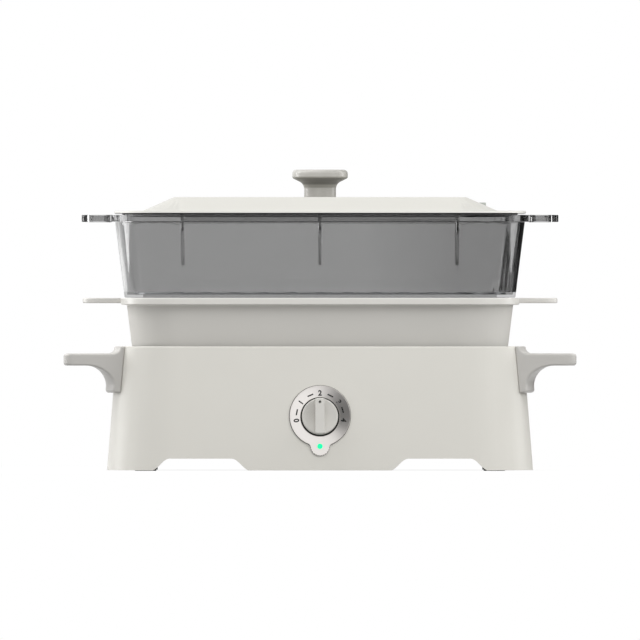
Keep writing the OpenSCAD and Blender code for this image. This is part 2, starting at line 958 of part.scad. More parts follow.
module control_knob() {
    lift = 0.6;
    color("#cfccc6")
        on_front(knob_z)
            difference() {
                union() {
                    translate([0, 0, lift])
                        cylinder(h = skirt_h - lift, r = knob_r);
                    intersection() {
                        translate([0, 0, lift])
                            cylinder(h = knob_h - lift, r = knob_r);
                        translate([-bar_w / 2, -knob_r, lift])
                            cube([bar_w, 2 * knob_r, knob_h]);
                    }
                }
                tube(lift - 1, skirt_h - 1.5, knob_r - 2, shaft_r + 2.2);
                translate([0, 0, lift - 1])
                    cylinder(h = 3, r = knob_r - 2);
                translate([0, 0, lift])
                    cylinder(h = shaft_front - lift, r = shaft_r + 0.02);
                translate([0, knob_r - 3.7, knob_h - 0.3])
                    pointer_drop(1, 0.02);
            }
}

// A drop: a disc with a point towards the scale
module pointer_drop(h, extra) {
    r = 1.1 + extra;
    cylinder(h = h, r = r);
    linear_extrude(h)
        polygon([[-0.7 * r, 0], [0.7 * r, 0], [0.7 * r, 0.7 * r], [0, 1.9 * r], [-0.7 * r, 0.7 * r]]);
}

module knob_pointer() {
    color("#9a9892")
        on_front(knob_z)
            translate([0, knob_r - 3.7, knob_h - 0.3])
                pointer_drop(0.3, 0);
}

// Power inlet

module inlet_housing() {
    color("#1d1d1f")
        on_side(1, inlet_z)
            difference() {
                union() {
                    translate([-inlet_w / 2, -inlet_h / 2, inlet_back])
                        cube([inlet_w, inlet_h, inlet_face - inlet_back]);
                    translate([-flange_half, -inlet_h / 2 - 2, pad_back - 2])
                        cube([2 * flange_half, inlet_h + 4, 2]);
                }
                translate([-inlet_w / 2 + inlet_t, -inlet_h / 2 + inlet_t, inlet_back + 4])
                    cube([inlet_w - 2 * inlet_t, inlet_h - 2 * inlet_t, 30]);
                for (s = [-1, 1]) {
                    translate([s * pin_half, 0, inlet_back - 1])
                        cylinder(h = 6, r = contact_r);
                    translate([s * (inlet_w / 2 + 3), 0, pad_back - 3])
                        cylinder(h = 4, r = 1 + screw_gap);
                }
            }
}

module inlet_pins() {
    color("#c9a24a")
        on_side(1, inlet_z)
            for (s = [-1, 1])
                translate([s * pin_half, 0, contact_back])
                    cylinder(h = -4 - contact_back, r = contact_r);
}

module inlet_screws() {
    color("#8f9295")
        on_side(1, inlet_z)
            for (s = [-1, 1])
                translate([s * (inlet_w / 2 + 3), 0, pad_back - 2])
                    screw(2.2, 1.4, 0.9, 3.6);
}

// Internal wires

wire_r = 1.3;

// Point of a smooth curve through all points, at place k + t between points k and k + 1
function along(points, k, t) =
    let (
        last = len(points) - 1,
        a = k > 0 ? points[k - 1] : 2 * points[0] - points[1],
        b = points[k],
        c = points[k + 1],
        d = k + 2 > last ? 2 * points[last] - points[last - 1] : points[k + 2]
    )
        0.5 * (2 * b + (c - a) * t + (2 * a - 5 * b + 4 * c - d) * t * t
            + (3 * b - a - 3 * c + d) * t * t * t);

function unit(v) = v / norm(v);

// A round wire along a smooth curve through the points, with flat ends
module wire(points) {
    parts = 4;
    sides = 8;
    lean_to = [0.3, 0.93, 0.2];
    spans = len(points) - 1;
    stops = [for (k = [0 : spans - 1], j = [0 : parts - 1]) [k, j / parts]];
    path = concat([for (s = stops) along(points, s[0], s[1])], [points[spans]]);
    count = len(path);
    rings = [for (i = [0 : count - 1])
        let (
            ahead = i == 0 ? points[1] - points[0]
                : i == count - 1 ? points[spans] - points[spans - 1]
                : path[i + 1] - path[i - 1],
            across = unit(cross(unit(ahead), lean_to)),
            up = cross(across, unit(ahead))
        )
            [for (n = [0 : sides - 1])
                path[i] + wire_r * (cos(360 * n / sides) * up + sin(360 * n / sides) * across)]];
    loft(rings);
}

// Point at x, up and out in a wall's frame, given in the housing's frame
function front_point(x, up, out) = [
    x,
    -base_at(knob_z)[1] + up * sin(wall_lean) - out * cos(wall_lean),
    knob_z + up * cos(wall_lean) + out * sin(wall_lean)
];
function side_point(y, out) = [
    base_at(inlet_z)[0] + out * cos(wall_lean),
    y,
    inlet_z + out * sin(wall_lean)
];

module wire_harness() {
    tab_end = switch_back - tab_len;
    low_z = cover_top + wire_rise;
    pin_end = pin_top - pin_l;
    fuse_z = plate_z - fuse_t / 2;
    color("#a33b32")
        in_base() {
            wire([
                side_point(-pin_half, contact_back), side_point(-pin_half, contact_back - 8),
                [0.366 * pot_w, -0.18 * pot_d, low_z], [0.122 * pot_w, -0.338 * pot_d, low_z],
                front_point(8, 0, tab_end - 8), front_point(8, 0, tab_end)
            ]);
            wire([
                front_point(-8, 0, tab_end), front_point(-8, 0, tab_end - 8),
                [-0.079 * pot_w, -0.225 * pot_d, low_z + 8],
                [-0.079 * pot_w, -0.063 * pot_d, low_z + 12],
                [-0.067 * pot_w, 0.018 * pot_d, 0.61 * plate_z],
                [fuse_x - 10, 0.068 * pot_d, 0.67 * plate_z],
                [fuse_x - 4, 0, 0.852 * plate_z], [fuse_x - 5, 0, fuse_z], [fuse_x, 0, fuse_z]
            ]);
            wire([
                [fuse_x + fuse_l, 0, fuse_z], [fuse_x + fuse_l + 6, 0, fuse_z],
                [0.165 * pot_w, -0.036 * pot_d, 0.67 * plate_z],
                [elbow_x, -heater_half, pin_end - 8], [elbow_x, -heater_half, pin_end]
            ]);
            wire([
                side_point(pin_half, contact_back), side_point(pin_half, contact_back - 8),
                [0.335 * pot_w, 0.108 * pot_d, low_z + 6], [elbow_x, heater_half, pin_end - 8],
                [elbow_x, heater_half, pin_end]
            ]);
        }
}

// Pot

module pot() {
    tab_tip = pot_at(rim_z)[0] + rim_out + tab_reach;
    foot = grown(pot_at(pot_z), -pot_bevel);
    bevel_z = pot_z + pot_bevel;
    inner_z = pot_z + pot_floor_t;
    inner_bevel_z = inner_z + pot_bevel;
    overlap = pot_bevel / 2;
    bevel_grow = (pot_at(bevel_z)[0] - foot[0]) / pot_bevel;
    inner_wall = grown(pot_at(inner_bevel_z), -pot_t);
    color("#c9c7c2")
        in_base()
            difference() {
                union() {
                    leaning(pot_z, bevel_z, foot, bevel_grow);
                    slab(pot_z + overlap, bevel_z + overlap, grown(foot, overlap));
                    leaning(bevel_z, rim_top - tab_t / 2, pot_at(bevel_z), pot_grow);
                    slab(rim_z, rim_top, grown(pot_at(rim_z), rim_out));
                    slab(rim_top - tab_t, rim_top, [tab_tip, tab_l / 2, tab_r]);
                }
                leaning(inner_z, inner_bevel_z, grown(inner_wall, -pot_bevel), 1);
                leaning(inner_bevel_z, rim_top + 1, inner_wall, pot_grow);
            }
}

// Steamer

module steamer_box() {
    inner_z = steamer_z + steamer_t;
    skirt_z = steamer_z - skirt_depth;
    skirt = grown(pot_at(skirt_z), -pot_t - 0.7);
    loop_tip = steamer_rim[0] + loop_reach;
    rib_foot_z = steamer_top - rib_depth / steamer_grow;
    color([0.45, 0.46, 0.47, 0.55])
        in_base()
            difference() {
                union() {
                    leaning(skirt_z, steamer_z + 0.5, skirt, 0);
                    leaning(steamer_z, steamer_rim_z, steamer_at(steamer_z), steamer_grow);
                    slab(steamer_rim_z, steamer_top, steamer_rim);
                    slab(steamer_rim_z, steamer_top, [loop_tip, loop_l / 2, 10]);
                }
                slab(skirt_z - 1, inner_z + 1, grown(skirt, -10));
                leaning(skirt_z - 1, steamer_z, grown(skirt, -steamer_t), 0);
                difference() {
                    leaning(
                        inner_z, steamer_top + 1,
                        grown(steamer_at(inner_z), -steamer_t), steamer_grow
                    );
                    for (side = [-1, 1], i = [-1 : 1])
                        stacking_rib(side, i * rib_pitch, rib_foot_z);
                }
                for (side = [-1, 1])
                    translate([side * (steamer_rim[0] + (loop_reach - loop_bar) / 2 + 1), 0, 0])
                        slab(
                            steamer_rim_z - 1, steamer_top + 1,
                            [(loop_reach - loop_bar) / 2 - 1, loop_l / 2 - loop_bar, 5]
                        );
            }
}

// A rib whose inner edge is upright, so that it runs out where the leaning wall meets it
module stacking_rib(side, x, foot_z) {
    inner = steamer_at(steamer_top)[1] - steamer_t - rib_depth;
    translate([x - rib_t / 2, 0, 0])
        rotate([90, 0, 90])
            linear_extrude(rib_t)
                polygon([
                    [side * inner, foot_z - 6], [side * inner, steamer_top],
                    [side * (inner + 30), steamer_top], [side * (inner + 30), foot_z - 6]
                ]);
}

module steam_tray() {
    plan = grown(steamer_at(steamer_z + steamer_t), -steamer_t - tray_gap);
    nx = floor((plan[0] - 14) / tray_pitch);
    ny = floor((plan[1] - 14) / tray_pitch);
    color("#c8cacc")
        in_base()
            difference() {
                slab(tray_z, tray_z + tray_t, plan);
                for (i = [-nx : nx], j = [-ny : ny])
                    if (abs(i) < nx || abs(j) < ny)
                        translate([i * tray_pitch, j * tray_pitch, tray_z - 1])
                            cylinder(h = tray_t + 2, r = tray_hole_r);
            }
}

// Lid

module lid_panel() {
    slope = -slope_w / dome_h;
    hollow_z = dome_z - lid_t;
    low_z = border_z - 1;
    color("#e8e6e1")
        in_base()
            difference() {
                union() {
                    slab(border_z, dome_z, lid_edge);
                    leaning(dome_z, lid_top, dome_foot, slope);
                }
                leaning(low_z, lid_top - lid_t, grown(dome_foot, (low_z - hollow_z) * slope), slope);
                translate([0, 0, lid_top - lid_t - 1])
                    cylinder(h = lid_t + 2, r = lid_screw_r + screw_gap);
                translate([vent_x, 0, border_z])
                    cylinder(h = dome_h, r = vent_r - 1 + screw_gap);
            }
}

module lid_seal() {
    reach = steamer_at(steamer_top)[0] - steamer_t - rib_depth;
    seat = [reach + 1, reach + 1 - (pot_w - pot_d) / 2, steamer_at(steamer_top)[2] - steamer_t - rib_depth + 1];
    color("#3b3b3a")
        in_base() {
            ring(seal_z, border_z, seat, grown(seat, -8));
            ring(seal_z - lip_depth, seal_z, grown(seat, -2), grown(seat, -5));
        }
}

module lid_knob() {
    curve = 5.5;
    corner = 3.6;
    under_z = lid_knob_h - head_h;
    color("#b9b7b1")
        in_base()
            translate([0, 0, lid_top])
                difference() {
                    rotate_extrude()
                        polygon(concat(
                            [[0, 0], [neck_r, 0]],
                            [for (t = [0 : 15 : 60])
                                [neck_r + curve * (1 - cos(t)), under_z - curve + curve * sin(t)]],
                            [for (t = [-60 : 15 : 0])
                                [head_r - corner + corner * cos(t), under_z + corner + corner * sin(t)]],
                            [for (t = [0 : 15 : 90])
                                [head_r - corner + corner * cos(t), lid_knob_h - corner + corner * sin(t)]],
                            [[0, lid_knob_h]]
                        ));
                    translate([0, 0, -1])
                        cylinder(h = 13.5, r = lid_screw_r + 0.02);
                }
}

module knob_washer() {
    color("#55565a")
        in_base()
            tube(lid_top - lid_t - washer_t, lid_top - lid_t, washer_r, lid_screw_r + screw_gap);
}

module lid_screw() {
    color("#8f9295")
        in_base()
            translate([0, 0, lid_top - lid_t - washer_t])
                screw(4.2, 2.4, lid_screw_r, lid_t + washer_t + 12);
}

module steam_vent() {
    slope = slope_w / dome_h;
    top_z = lid_top - (vent_x - vent_r - dome_foot[0] + slope_w) / slope + 0.5;
    under_z = lid_top - lid_t - (vent_x + vent_r - dome_foot[0] + slope_w) / slope;
    color("#8d958e")
        in_base()
            translate([vent_x, 0, 0])
                difference() {
                    union() {
                        difference() {
                            translate([0, 0, border_z])
                                cylinder(h = top_z - border_z, r = vent_r);
                            translate([-vent_x, 0, 0])
                                leaning(dome_z - 4, lid_top, grown(dome_foot, 4 * slope), -slope);
                        }
                        translate([0, 0, under_z - 1])
                            cylinder(h = top_z - under_z, r = vent_r - 1);
                    }
                    translate([0, 0, under_z - 2])
                        cylinder(h = top_z, r = 1);
                }
}

base_shell();
bottom_cover();
cover_screws();
rubber_feet();
well_liner();
heating_plate();
heater_tube();
heater_pins();
plate_spacers();
plate_screws();
probe_holder();
probe_cap();
probe_sensor();
probe_spring();
thermal_fuse();
fuse_clip();
left_handle();
right_handle();
handle_screws();
dial_plate();
lamp_lens();
lamp();
lamp_board();
switch_bracket();
thermostat();
switch_tabs();
bush_nut();
knob_shaft();
control_knob();
knob_pointer();
inlet_housing();
inlet_pins();
inlet_screws();
wire_harness();
pot();
steamer_box();
steam_tray();
lid_panel();
lid_seal();
lid_knob();
knob_washer();
lid_screw();
steam_vent();
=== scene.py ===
"""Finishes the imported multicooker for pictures.

It gives the pieces soft edges and real surfaces, prints the dial, and sets up camera and light.
Sizes are in millimetres until a piece is done, and in metres from then on.
"""

from __future__ import annotations

import json
import logging
import math
from dataclasses import dataclass
from enum import Enum
from typing import Callable, Sequence

import bmesh
import bpy
from mathutils import Matrix, Vector

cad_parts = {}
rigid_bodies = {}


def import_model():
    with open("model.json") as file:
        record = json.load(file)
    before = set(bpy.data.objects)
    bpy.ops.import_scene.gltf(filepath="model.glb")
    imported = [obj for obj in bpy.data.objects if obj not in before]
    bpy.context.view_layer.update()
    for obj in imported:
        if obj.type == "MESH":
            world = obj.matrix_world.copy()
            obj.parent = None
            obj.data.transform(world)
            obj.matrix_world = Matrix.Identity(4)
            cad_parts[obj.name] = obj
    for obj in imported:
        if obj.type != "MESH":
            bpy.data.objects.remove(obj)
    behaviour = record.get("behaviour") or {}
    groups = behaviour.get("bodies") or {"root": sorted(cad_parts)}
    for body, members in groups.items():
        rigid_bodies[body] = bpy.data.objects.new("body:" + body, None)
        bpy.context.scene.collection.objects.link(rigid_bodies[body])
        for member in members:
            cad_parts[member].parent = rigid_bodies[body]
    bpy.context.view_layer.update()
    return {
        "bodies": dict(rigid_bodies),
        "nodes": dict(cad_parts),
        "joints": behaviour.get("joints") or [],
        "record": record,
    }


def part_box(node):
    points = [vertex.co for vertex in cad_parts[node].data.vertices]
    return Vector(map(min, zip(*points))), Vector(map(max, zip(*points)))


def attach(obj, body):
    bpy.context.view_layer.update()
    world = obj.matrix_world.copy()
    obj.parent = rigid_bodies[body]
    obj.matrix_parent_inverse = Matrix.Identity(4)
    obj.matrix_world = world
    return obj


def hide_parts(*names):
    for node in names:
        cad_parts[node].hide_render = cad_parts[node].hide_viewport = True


LOG = logging.getLogger("multicooker")
MM = 0.001
MID_Y = 5.27
WALL_LEAN = math.radians(4.6)
WHITE = (1.0, 1.0, 1.0, 1.0)
HERE = Matrix.Identity(4)
Point = tuple[float, float]
Place = tuple[float, float, float]


class Surface(Enum):
    """The families of surface that the pieces are finished in."""

    MOULDED = "moulded plastic with a fine grain"
    COATED = "sprayed coat with fine orange peel"
    BRUSHED = "metal brushed along one direction"
    TURNED = "metal turned in rings"
    CAST = "cast metal"
    RUBBER = "rubber"
    CLEAR = "clear tinted plastic"
    LIT = "lit lens"
    INK = "printed ink"
    SLEEVE = "woven sleeve"


@dataclass(frozen=True)
class Plan:
    """A rounded rectangle seen from above, in millimetres."""

    half_w: float
    half_d: float
    corner: float

    def grown(self, by: float) -> Plan:
        """The same outline, moved outwards by a distance."""
        return Plan(self.half_w + by, self.half_d + by, self.corner + by)

    def reach(self, x: float, y: float) -> float:
        """How far a point lies outside the outline; negative inside.

        Args:
            x: Distance to the right of the middle.
            y: Distance behind the middle.

        Returns:
            The signed distance in millimetres.
        """
        dx = abs(x) - self.half_w + self.corner
        dy = abs(y) - self.half_d + self.corner
        return math.hypot(max(dx, 0.0), max(dy, 0.0)) + min(max(dx, dy), 0.0) - self.corner


@dataclass(frozen=True)
class Housing:
    """Sizes of the base housing that other pieces line up with."""

    top: Plan = Plan(172.466, 119.466, 55.466)
    height: float = 105.4
    knob_z: float = 45.8

    def at(self, z: float) -> Plan:
        """Outer outline of the leaning walls at a height."""
        return self.top.grown((self.height - z) * math.tan(WALL_LEAN))

    def front_frame(self, z: float) -> Matrix:
        """Frame of the front wall: X to the right, Y up the wall, Z out of it.

        Args:
            z: Height of the frame's origin on the wall.

        Returns:
            The matrix from that frame to the model's, in millimetres.
        """
        s, c = math.sin(WALL_LEAN), math.cos(WALL_LEAN)
        front = MID_Y - self.at(z).half_d
        return Matrix(((1, 0, 0, 0), (0, s, -c, front), (0, c, s, z), (0, 0, 0, 1)))


HOUSING = Housing()
KNOB_FRAME = HOUSING.front_frame(HOUSING.knob_z)
PLATE_FRAME = Matrix.Translation((0, MID_Y, 0))


def arc(x: float, y: float, radius: float, start: float, end: float, parts: int) -> list[Point]:
    """Points along a circular arc.

    Args:
        x: Centre, first axis.
        y: Centre, second axis.
        radius: Radius of the arc.
        start: First angle in degrees.
        end: Last angle in degrees.
        parts: Number of steps.

    Returns:
        parts + 1 points.
    """
    turns = (math.radians(start + (end - start) * i / parts) for i in range(parts + 1))
    return [(x + radius * math.cos(t), y + radius * math.sin(t)) for t in turns]


def circle(radius: float, parts: int, y: float = 0.0) -> list[Point]:
    """Points round a whole circle whose centre lies on the second axis."""
    return arc(0, y, radius, 0, 360, parts)[:-1]


def oblong(half_w: float, half_h: float) -> list[Point]:
    """The corners of a rectangle round the origin."""
    return [(-half_w, -half_h), (half_w, -half_h), (half_w, half_h), (-half_w, half_h)]


def filleted(corners: Sequence[tuple[float, float, float]], parts: int = 4) -> list[Point]:
    """Rounds the corners of a closed outline.

    Args:
        corners: Two coordinates and a radius for each corner; a radius of 0 keeps it sharp.
        parts: Number of steps across each rounded corner.

    Returns:
        The outline, with parts + 1 points for each rounded corner.
    """
    path: list[Point] = []
    for i, (x, y, radius) in enumerate(corners):
        if radius <= 0.0:
            path.append((x, y))
            continue
        here = Vector((x, y))
        back = (Vector(corners[i - 1][:2]) - here).normalized()
        ahead = (Vector(corners[(i + 1) % len(corners)][:2]) - here).normalized()
        half = back.angle(ahead) / 2
        centre = here + (back + ahead).normalized() * radius / math.sin(half)
        first = here + back * radius / math.tan(half) - centre
        last = here + ahead * radius / math.tan(half) - centre
        for k in range(parts + 1):
            spoke = first.slerp(last, k / parts).normalized() * radius
            path.append(tuple(centre + spoke))
    return path


def inset(path: Sequence[Point], by: float) -> list[Point]:
    """Moves a closed anticlockwise outline inwards.

    Args:
        path: The outline.
        by: How far it moves.

    Returns:
        As many points as the outline has.
    """
    moved = []
    for i, point in enumerate(path):
        here = Vector(point)
        a = (here - Vector(path[i - 1])).normalized()
        b = (Vector(path[(i + 1) % len(path)]) - here).normalized()
        normal = Vector((-a.y - b.y, a.x + b.x)).normalized()
        lean = max(0.5, normal.dot(Vector((-a.y, a.x))))
        moved.append(tuple(here + normal * by / lean))
    return moved


def linked(name: str, data: bpy.types.ID) -> bpy.types.Object:
    """Adds an object at the origin to the scene's collection.

    Args:
        name: The object's name.
        data: Its mesh, curve, lamp or camera.

    Returns:
        The new object.
    """
    made = bpy.data.objects.new(name, data)
    bpy.context.scene.collection.objects.link(made)
    return made


class Sketch:
    """Gathers faces in millimetres and turns them into a finished piece in metres."""

    def __init__(self) -> None:
        """Starts with no faces."""
        self.bm = bmesh.new()

    def ring(self, frame: Matrix, points: Sequence[Sequence[float]]) -> list[bmesh.types.BMVert]:
        """Adds a ring of vertices given in a frame."""
        return [self.bm.verts.new(frame @ Vector(p)) for p in points]

    def bridge(self, a: list[bmesh.types.BMVert], b: list[bmesh.types.BMVert]) -> None:
        """Joins two rings with a band of faces.

        Args:
            a: One ring.
            b: The other, with as many vertices.
        """
        for i in range(len(a)):
            j = (i + 1) % len(a)
            self.bm.faces.new((a[i], a[j], b[j], b[i]))

    def lathe(self, frame: Matrix, profile: Sequence[Point], parts: int = 96) -> None:
        """Turns a profile round the frame's Z axis.

        Args:
            frame: Where the turned form stands.
            profile: Radius and height of each point; a radius of 0 makes a pole.
            parts: Number of steps round the axis.
        """
        rings = []
        for radius, z in profile:
            if radius < 1e-6:
                rings.append([self.bm.verts.new(frame @ Vector((0, 0, z)))])
            else:
                rings.append(self.ring(frame, [(x, y, z) for x, y in circle(radius, parts)]))
        for a, b in zip(rings, rings[1:]):
            if len(a) == 1 or len(b) == 1:
                pole, loop = (a, b) if len(a) == 1 else (b, a)
                for i in range(len(loop)):
                    self.bm.faces.new((loop[i], loop[(i + 1) % len(loop)], pole[0]))
            else:
                self.bridge(a, b)

    def prism(self, frame: Matrix, loops: Sequence[Sequence[Point]], low: float, high: float) -> None:
        """Extrudes an outline with any holes along the frame's Z axis.

        Args:
            frame: Where the outline lies.
            loops: The outline, then its holes.
            low: Height of the lower face.
            high: Height of the upper face.
        """
        rims: dict[float, list[bmesh.types.BMEdge]] = {low: [], high: []}
        for loop in loops:
            bottom = self.ring(frame, [(x, y, low) for x, y in loop])
            top = self.ring(frame, [(x, y, high) for x, y in loop])
            self.bridge(bottom, top)
            for height, ring in ((low, bottom), (high, top)):
                for i, vert in enumerate(ring):
                    edge = self.bm.edges.get((vert, ring[(i + 1) % len(ring)]))
                    rims[height].append(edge)
        for edges in rims.values():
            bmesh.ops.triangle_fill(self.bm, use_beauty=True, edges=edges)

    def soften(self, width: float, parts: int, wanted: Callable[[bmesh.types.BMEdge], bool]) -> None:
        """Rounds chosen edges.

        Args:
            width: How far the rounding reaches along each face.
            parts: Number of faces across it.
            wanted: Says which edges are rounded.
        """
        edges = [e for e in self.bm.edges if len(e.link_faces) == 2 and wanted(e)]
        bmesh.ops.bevel(
            self.bm, geom=edges, offset=width, segments=parts, profile=0.5, affect="EDGES",
            clamp_overlap=False, miter_outer="ARC", miter_inner="SHARP", spread=width / 2,
        )

    def done(
        self, name: str, finish: bpy.types.Material, sharp: float = 32.0, flat: int = 1000,
        even: bool = True,
    ) -> bpy.types.Object:
        """Makes the piece's object, in metres at the origin.

        Args:
            name: The piece's name.
            finish: Its material.
            sharp: Edges that turn by more degrees than this stay crisp.
            flat: A face with more corners than this keeps one even shade.
            even: Whether large faces steer the shading of the rounded edges beside them.

        Returns:
            The new object, linked to the scene.
        """
        bmesh.ops.recalc_face_normals(self.bm, faces=self.bm.faces)
        bmesh.ops.scale(self.bm, vec=(MM, MM, MM), verts=self.bm.verts)
        limit = math.radians(sharp)
        for edge in self.bm.edges:
            plain = all(len(face.verts) <= flat for face in edge.link_faces)
            edge.smooth = plain and len(edge.link_faces) == 2 and edge.calc_face_angle(0.0) < limit
        for face in self.bm.faces:
            face.smooth = True
        mesh = bpy.data.meshes.new(name)
        self.bm.to_mesh(mesh)
        self.bm.free()
        mesh.materials.append(finish)
        piece = linked(name, mesh)
        if even:
            piece.modifiers.new("even normals", "WEIGHTED_NORMAL").keep_sharp = True
        return piece


def sharp_edge(edge: bmesh.types.BMEdge, degrees: float, shortest: float) -> bool:
    """Whether an edge turns by more than an angle and isn't a short step of a small curve."""
    return edge.calc_face_angle(0.0) > math.radians(degrees) and edge.calc_length() > shortest


def solid_copy(node: bpy.types.Object) -> Sketch:
    """A merged copy of a CAD node's mesh with its flat faces joined.

    Args:
        node: The CAD node's object.

    Returns:
        A sketch in millimetres that holds the copy.
    """
    sketch = Sketch()
    sketch.bm.from_mesh(node.data)
    bmesh.ops.scale(sketch.bm, vec=(1 / MM, 1 / MM, 1 / MM), verts=sketch.bm.verts)
    bmesh.ops.remove_doubles(sketch.bm, verts=sketch.bm.verts, dist=0.002)
    bmesh.ops.dissolve_limit(
        sketch.bm, angle_limit=math.radians(0.8), verts=sketch.bm.verts, edges=sketch.bm.edges
    )
    return sketch


def linear(code: str) -> tuple[float, float, float, float]:
    """Turns a screen colour into a linear one.

    Args:
        code: Six hexadecimal digits.

    Returns:
        Linear red, green and blue, and 1.
    """
    parts = (int(code[i : i + 2], 16) / 255 for i in (0, 2, 4))
    r, g, b = (c / 12.92 if c <= 0.04045 else ((c + 0.055) / 1.055) ** 2.4 for c in parts)
    return (r, g, b, 1.0)


class Graph:
    """Places nodes in a tree and joins them."""

    def __init__(self, tree: bpy.types.NodeTree) -> None:
        """Starts on a tree.

        Args:
            tree: The shader or geometry tree that is filled.
        """
        self.tree = tree

    def node(self, kind: str, inputs: dict | None = None, **settings: object) -> bpy.types.Node:
        """Adds a node.

        Args:
            kind: The node's type name.
            inputs: Value or output socket for each input, by its name or number.
            settings: Properties of the node.

        Returns:
            The new node.
        """
        node = self.tree.nodes.new(kind)
        for key, value in settings.items():
            setattr(node, key, value)
        for key, value in (inputs or {}).items():
            if isinstance(value, bpy.types.NodeSocket):
                self.tree.links.new(value, node.inputs[key])
            else:
                node.inputs[key].default_value = value
        return node

    def math(self, operation: str, *values: object) -> bpy.types.NodeSocket:
        """Adds a Math node and returns its result."""
        return self.node("ShaderNodeMath", dict(enumerate(values)), operation=operation).outputs[0]


def blank_material(name: str) -> tuple[bpy.types.Material, Graph]:
    """Starts a material.

    Args:
        name: The material's name.

    Returns:
        The material without nodes, and the graph that fills it.
    """
    material = bpy.data.materials.new(name)
    material.use_nodes = True
    material.node_tree.nodes.clear()
    return material, Graph(material.node_tree)


class Effects:
    """Shader groups that several finishes share."""

    def __init__(self) -> None:
        """Builds each group once."""
        self.grain = self._grain()
        self.brush = self._brush()
        self.drift = self._drift()
        self.rings = self._rings()

    @staticmethod
    def _group(
        name: str, inputs: dict[str, str], outputs: dict[str, str]
    ) -> tuple[Graph, bpy.types.Node, bpy.types.Node]:
        """Starts a group.

        Args:
            name: The group's name.
            inputs: Socket type of each input, by its name.
            outputs: Socket type of each output, by its name.

        Returns:
            The graph, the group's input node and its output node.
        """
        tree = bpy.data.node_groups.new(name, "ShaderNodeTree")
        for label, kind in inputs.items():
            tree.interface.new_socket(label, in_out="INPUT", socket_type=kind)
        for label, kind in outputs.items():
            tree.interface.new_socket(label, in_out="OUTPUT", socket_type=kind)
        graph = Graph(tree)
        return graph, graph.node("NodeGroupInput"), graph.node("NodeGroupOutput")

    def _grain(self) -> bpy.types.NodeTree:
        """Fine moulded or sprayed grain.

        Returns:
            A group that puts out a height, and a mask for roughness.
        """
        graph, source, sink = self._group(
            "fine grain", {"Vector": "NodeSocketVector", "Size": "NodeSocketFloat"},
            {"Height": "NodeSocketFloat", "Mask": "NodeSocketFloat"},
        )
        scale = graph.math("DIVIDE", 1.0, source.outputs["Size"])
        spot = source.outputs["Vector"]
        fine = graph.node(
            "ShaderNodeTexNoise", {"Vector": spot, "Scale": scale, "Detail": 2.0, "Roughness": 0.55}
        )
        wide_scale = graph.math("MULTIPLY", scale, 0.02)
        wide = graph.node("ShaderNodeTexNoise", {"Vector": spot, "Scale": wide_scale, "Detail": 3.0})
        fine_share = graph.math("MULTIPLY", fine.outputs[0], 0.4)
        wide_share = graph.math("MULTIPLY", wide.outputs[0], 0.6)
        mask = graph.math("ADD", fine_share, wide_share)
        graph.tree.links.new(fine.outputs[0], sink.inputs["Height"])
        graph.tree.links.new(mask, sink.inputs["Mask"])
        return graph.tree

    def _brush(self) -> bpy.types.NodeTree:
        """Long fine scratches along X.

        Returns:
            A group that puts out a height, and a mask for roughness.
        """
        graph, source, sink = self._group(
            "brushed lines",
            {"Vector": "NodeSocketVector", "Size": "NodeSocketFloat", "Stretch": "NodeSocketFloat"},
            {"Height": "NodeSocketFloat", "Mask": "NodeSocketFloat"},
        )
        scale = graph.math("DIVIDE", 1.0, source.outputs["Size"])
        long_scale = graph.math("DIVIDE", scale, source.outputs["Stretch"])
        axes = graph.node("ShaderNodeCombineXYZ", {0: long_scale, 1: scale, 2: scale})
        along = graph.node(
            "ShaderNodeVectorMath", {0: source.outputs["Vector"], 1: axes.outputs[0]}, operation="MULTIPLY"
        )
        lines = graph.node("ShaderNodeTexNoise", {"Vector": along.outputs[0], "Scale": 1.0, "Detail": 4.0})
        graph.tree.links.new(lines.outputs[0], sink.inputs["Height"])
        graph.tree.links.new(lines.outputs[0], sink.inputs["Mask"])
        return graph.tree

    def _drift(self) -> bpy.types.NodeTree:
        """A slow drift between two near colours.

        Returns:
            A group that puts out the colour.
        """
        graph, source, sink = self._group(
            "colour drift",
            {"Vector": "NodeSocketVector", "Size": "NodeSocketFloat",
             "Light": "NodeSocketColor", "Dark": "NodeSocketColor"},
            {"Color": "NodeSocketColor"},
        )
        scale = graph.math("DIVIDE", 1.0, source.outputs["Size"])
        noise = graph.node(
            "ShaderNodeTexNoise", {"Vector": source.outputs["Vector"], "Scale": scale, "Detail": 2.0}
        )
        mix = graph.node(
            "ShaderNodeMix",
            {0: noise.outputs[0], 6: source.outputs["Dark"], 7: source.outputs["Light"]},
            data_type="RGBA",
        )
        graph.tree.links.new(mix.outputs[2], sink.inputs["Color"])
        return graph.tree

    def _rings(self) -> bpy.types.NodeTree:
        """Turning rings round the Z axis, on a face that falls away from its middle.

        Returns:
            A group that puts out a height, and a mask for roughness.
        """
        graph, source, sink = self._group(
            "turned rings",
            {"Vector": "NodeSocketVector", "Pitch": "NodeSocketFloat", "Fall": "NodeSocketFloat"},
            {"Height": "NodeSocketFloat", "Mask": "NodeSocketFloat"},
        )
        flat = graph.node(
            "ShaderNodeVectorMath", {0: source.outputs["Vector"], 1: (1.0, 1.0, 0.0)}, operation="MULTIPLY"
        )
        radius = graph.node("ShaderNodeVectorMath", {0: flat.outputs[0]}, operation="LENGTH").outputs["Value"]
        ring = graph.math("DIVIDE", radius, source.outputs["Pitch"])
        noise = graph.node(
            "ShaderNodeTexNoise", {"W": ring, "Scale": 1.0, "Detail": 3.0}, noise_dimensions="1D"
        )
        lines = graph.math("MULTIPLY", noise.outputs[0], source.outputs["Pitch"])
        fall = graph.math("MULTIPLY", radius, source.outputs["Fall"])
        height = graph.math("SUBTRACT", graph.math("MULTIPLY", lines, 0.08), fall)
        graph.tree.links.new(height, sink.inputs["Height"])
        graph.tree.links.new(noise.outputs[0], sink.inputs["Mask"])
        return graph.tree


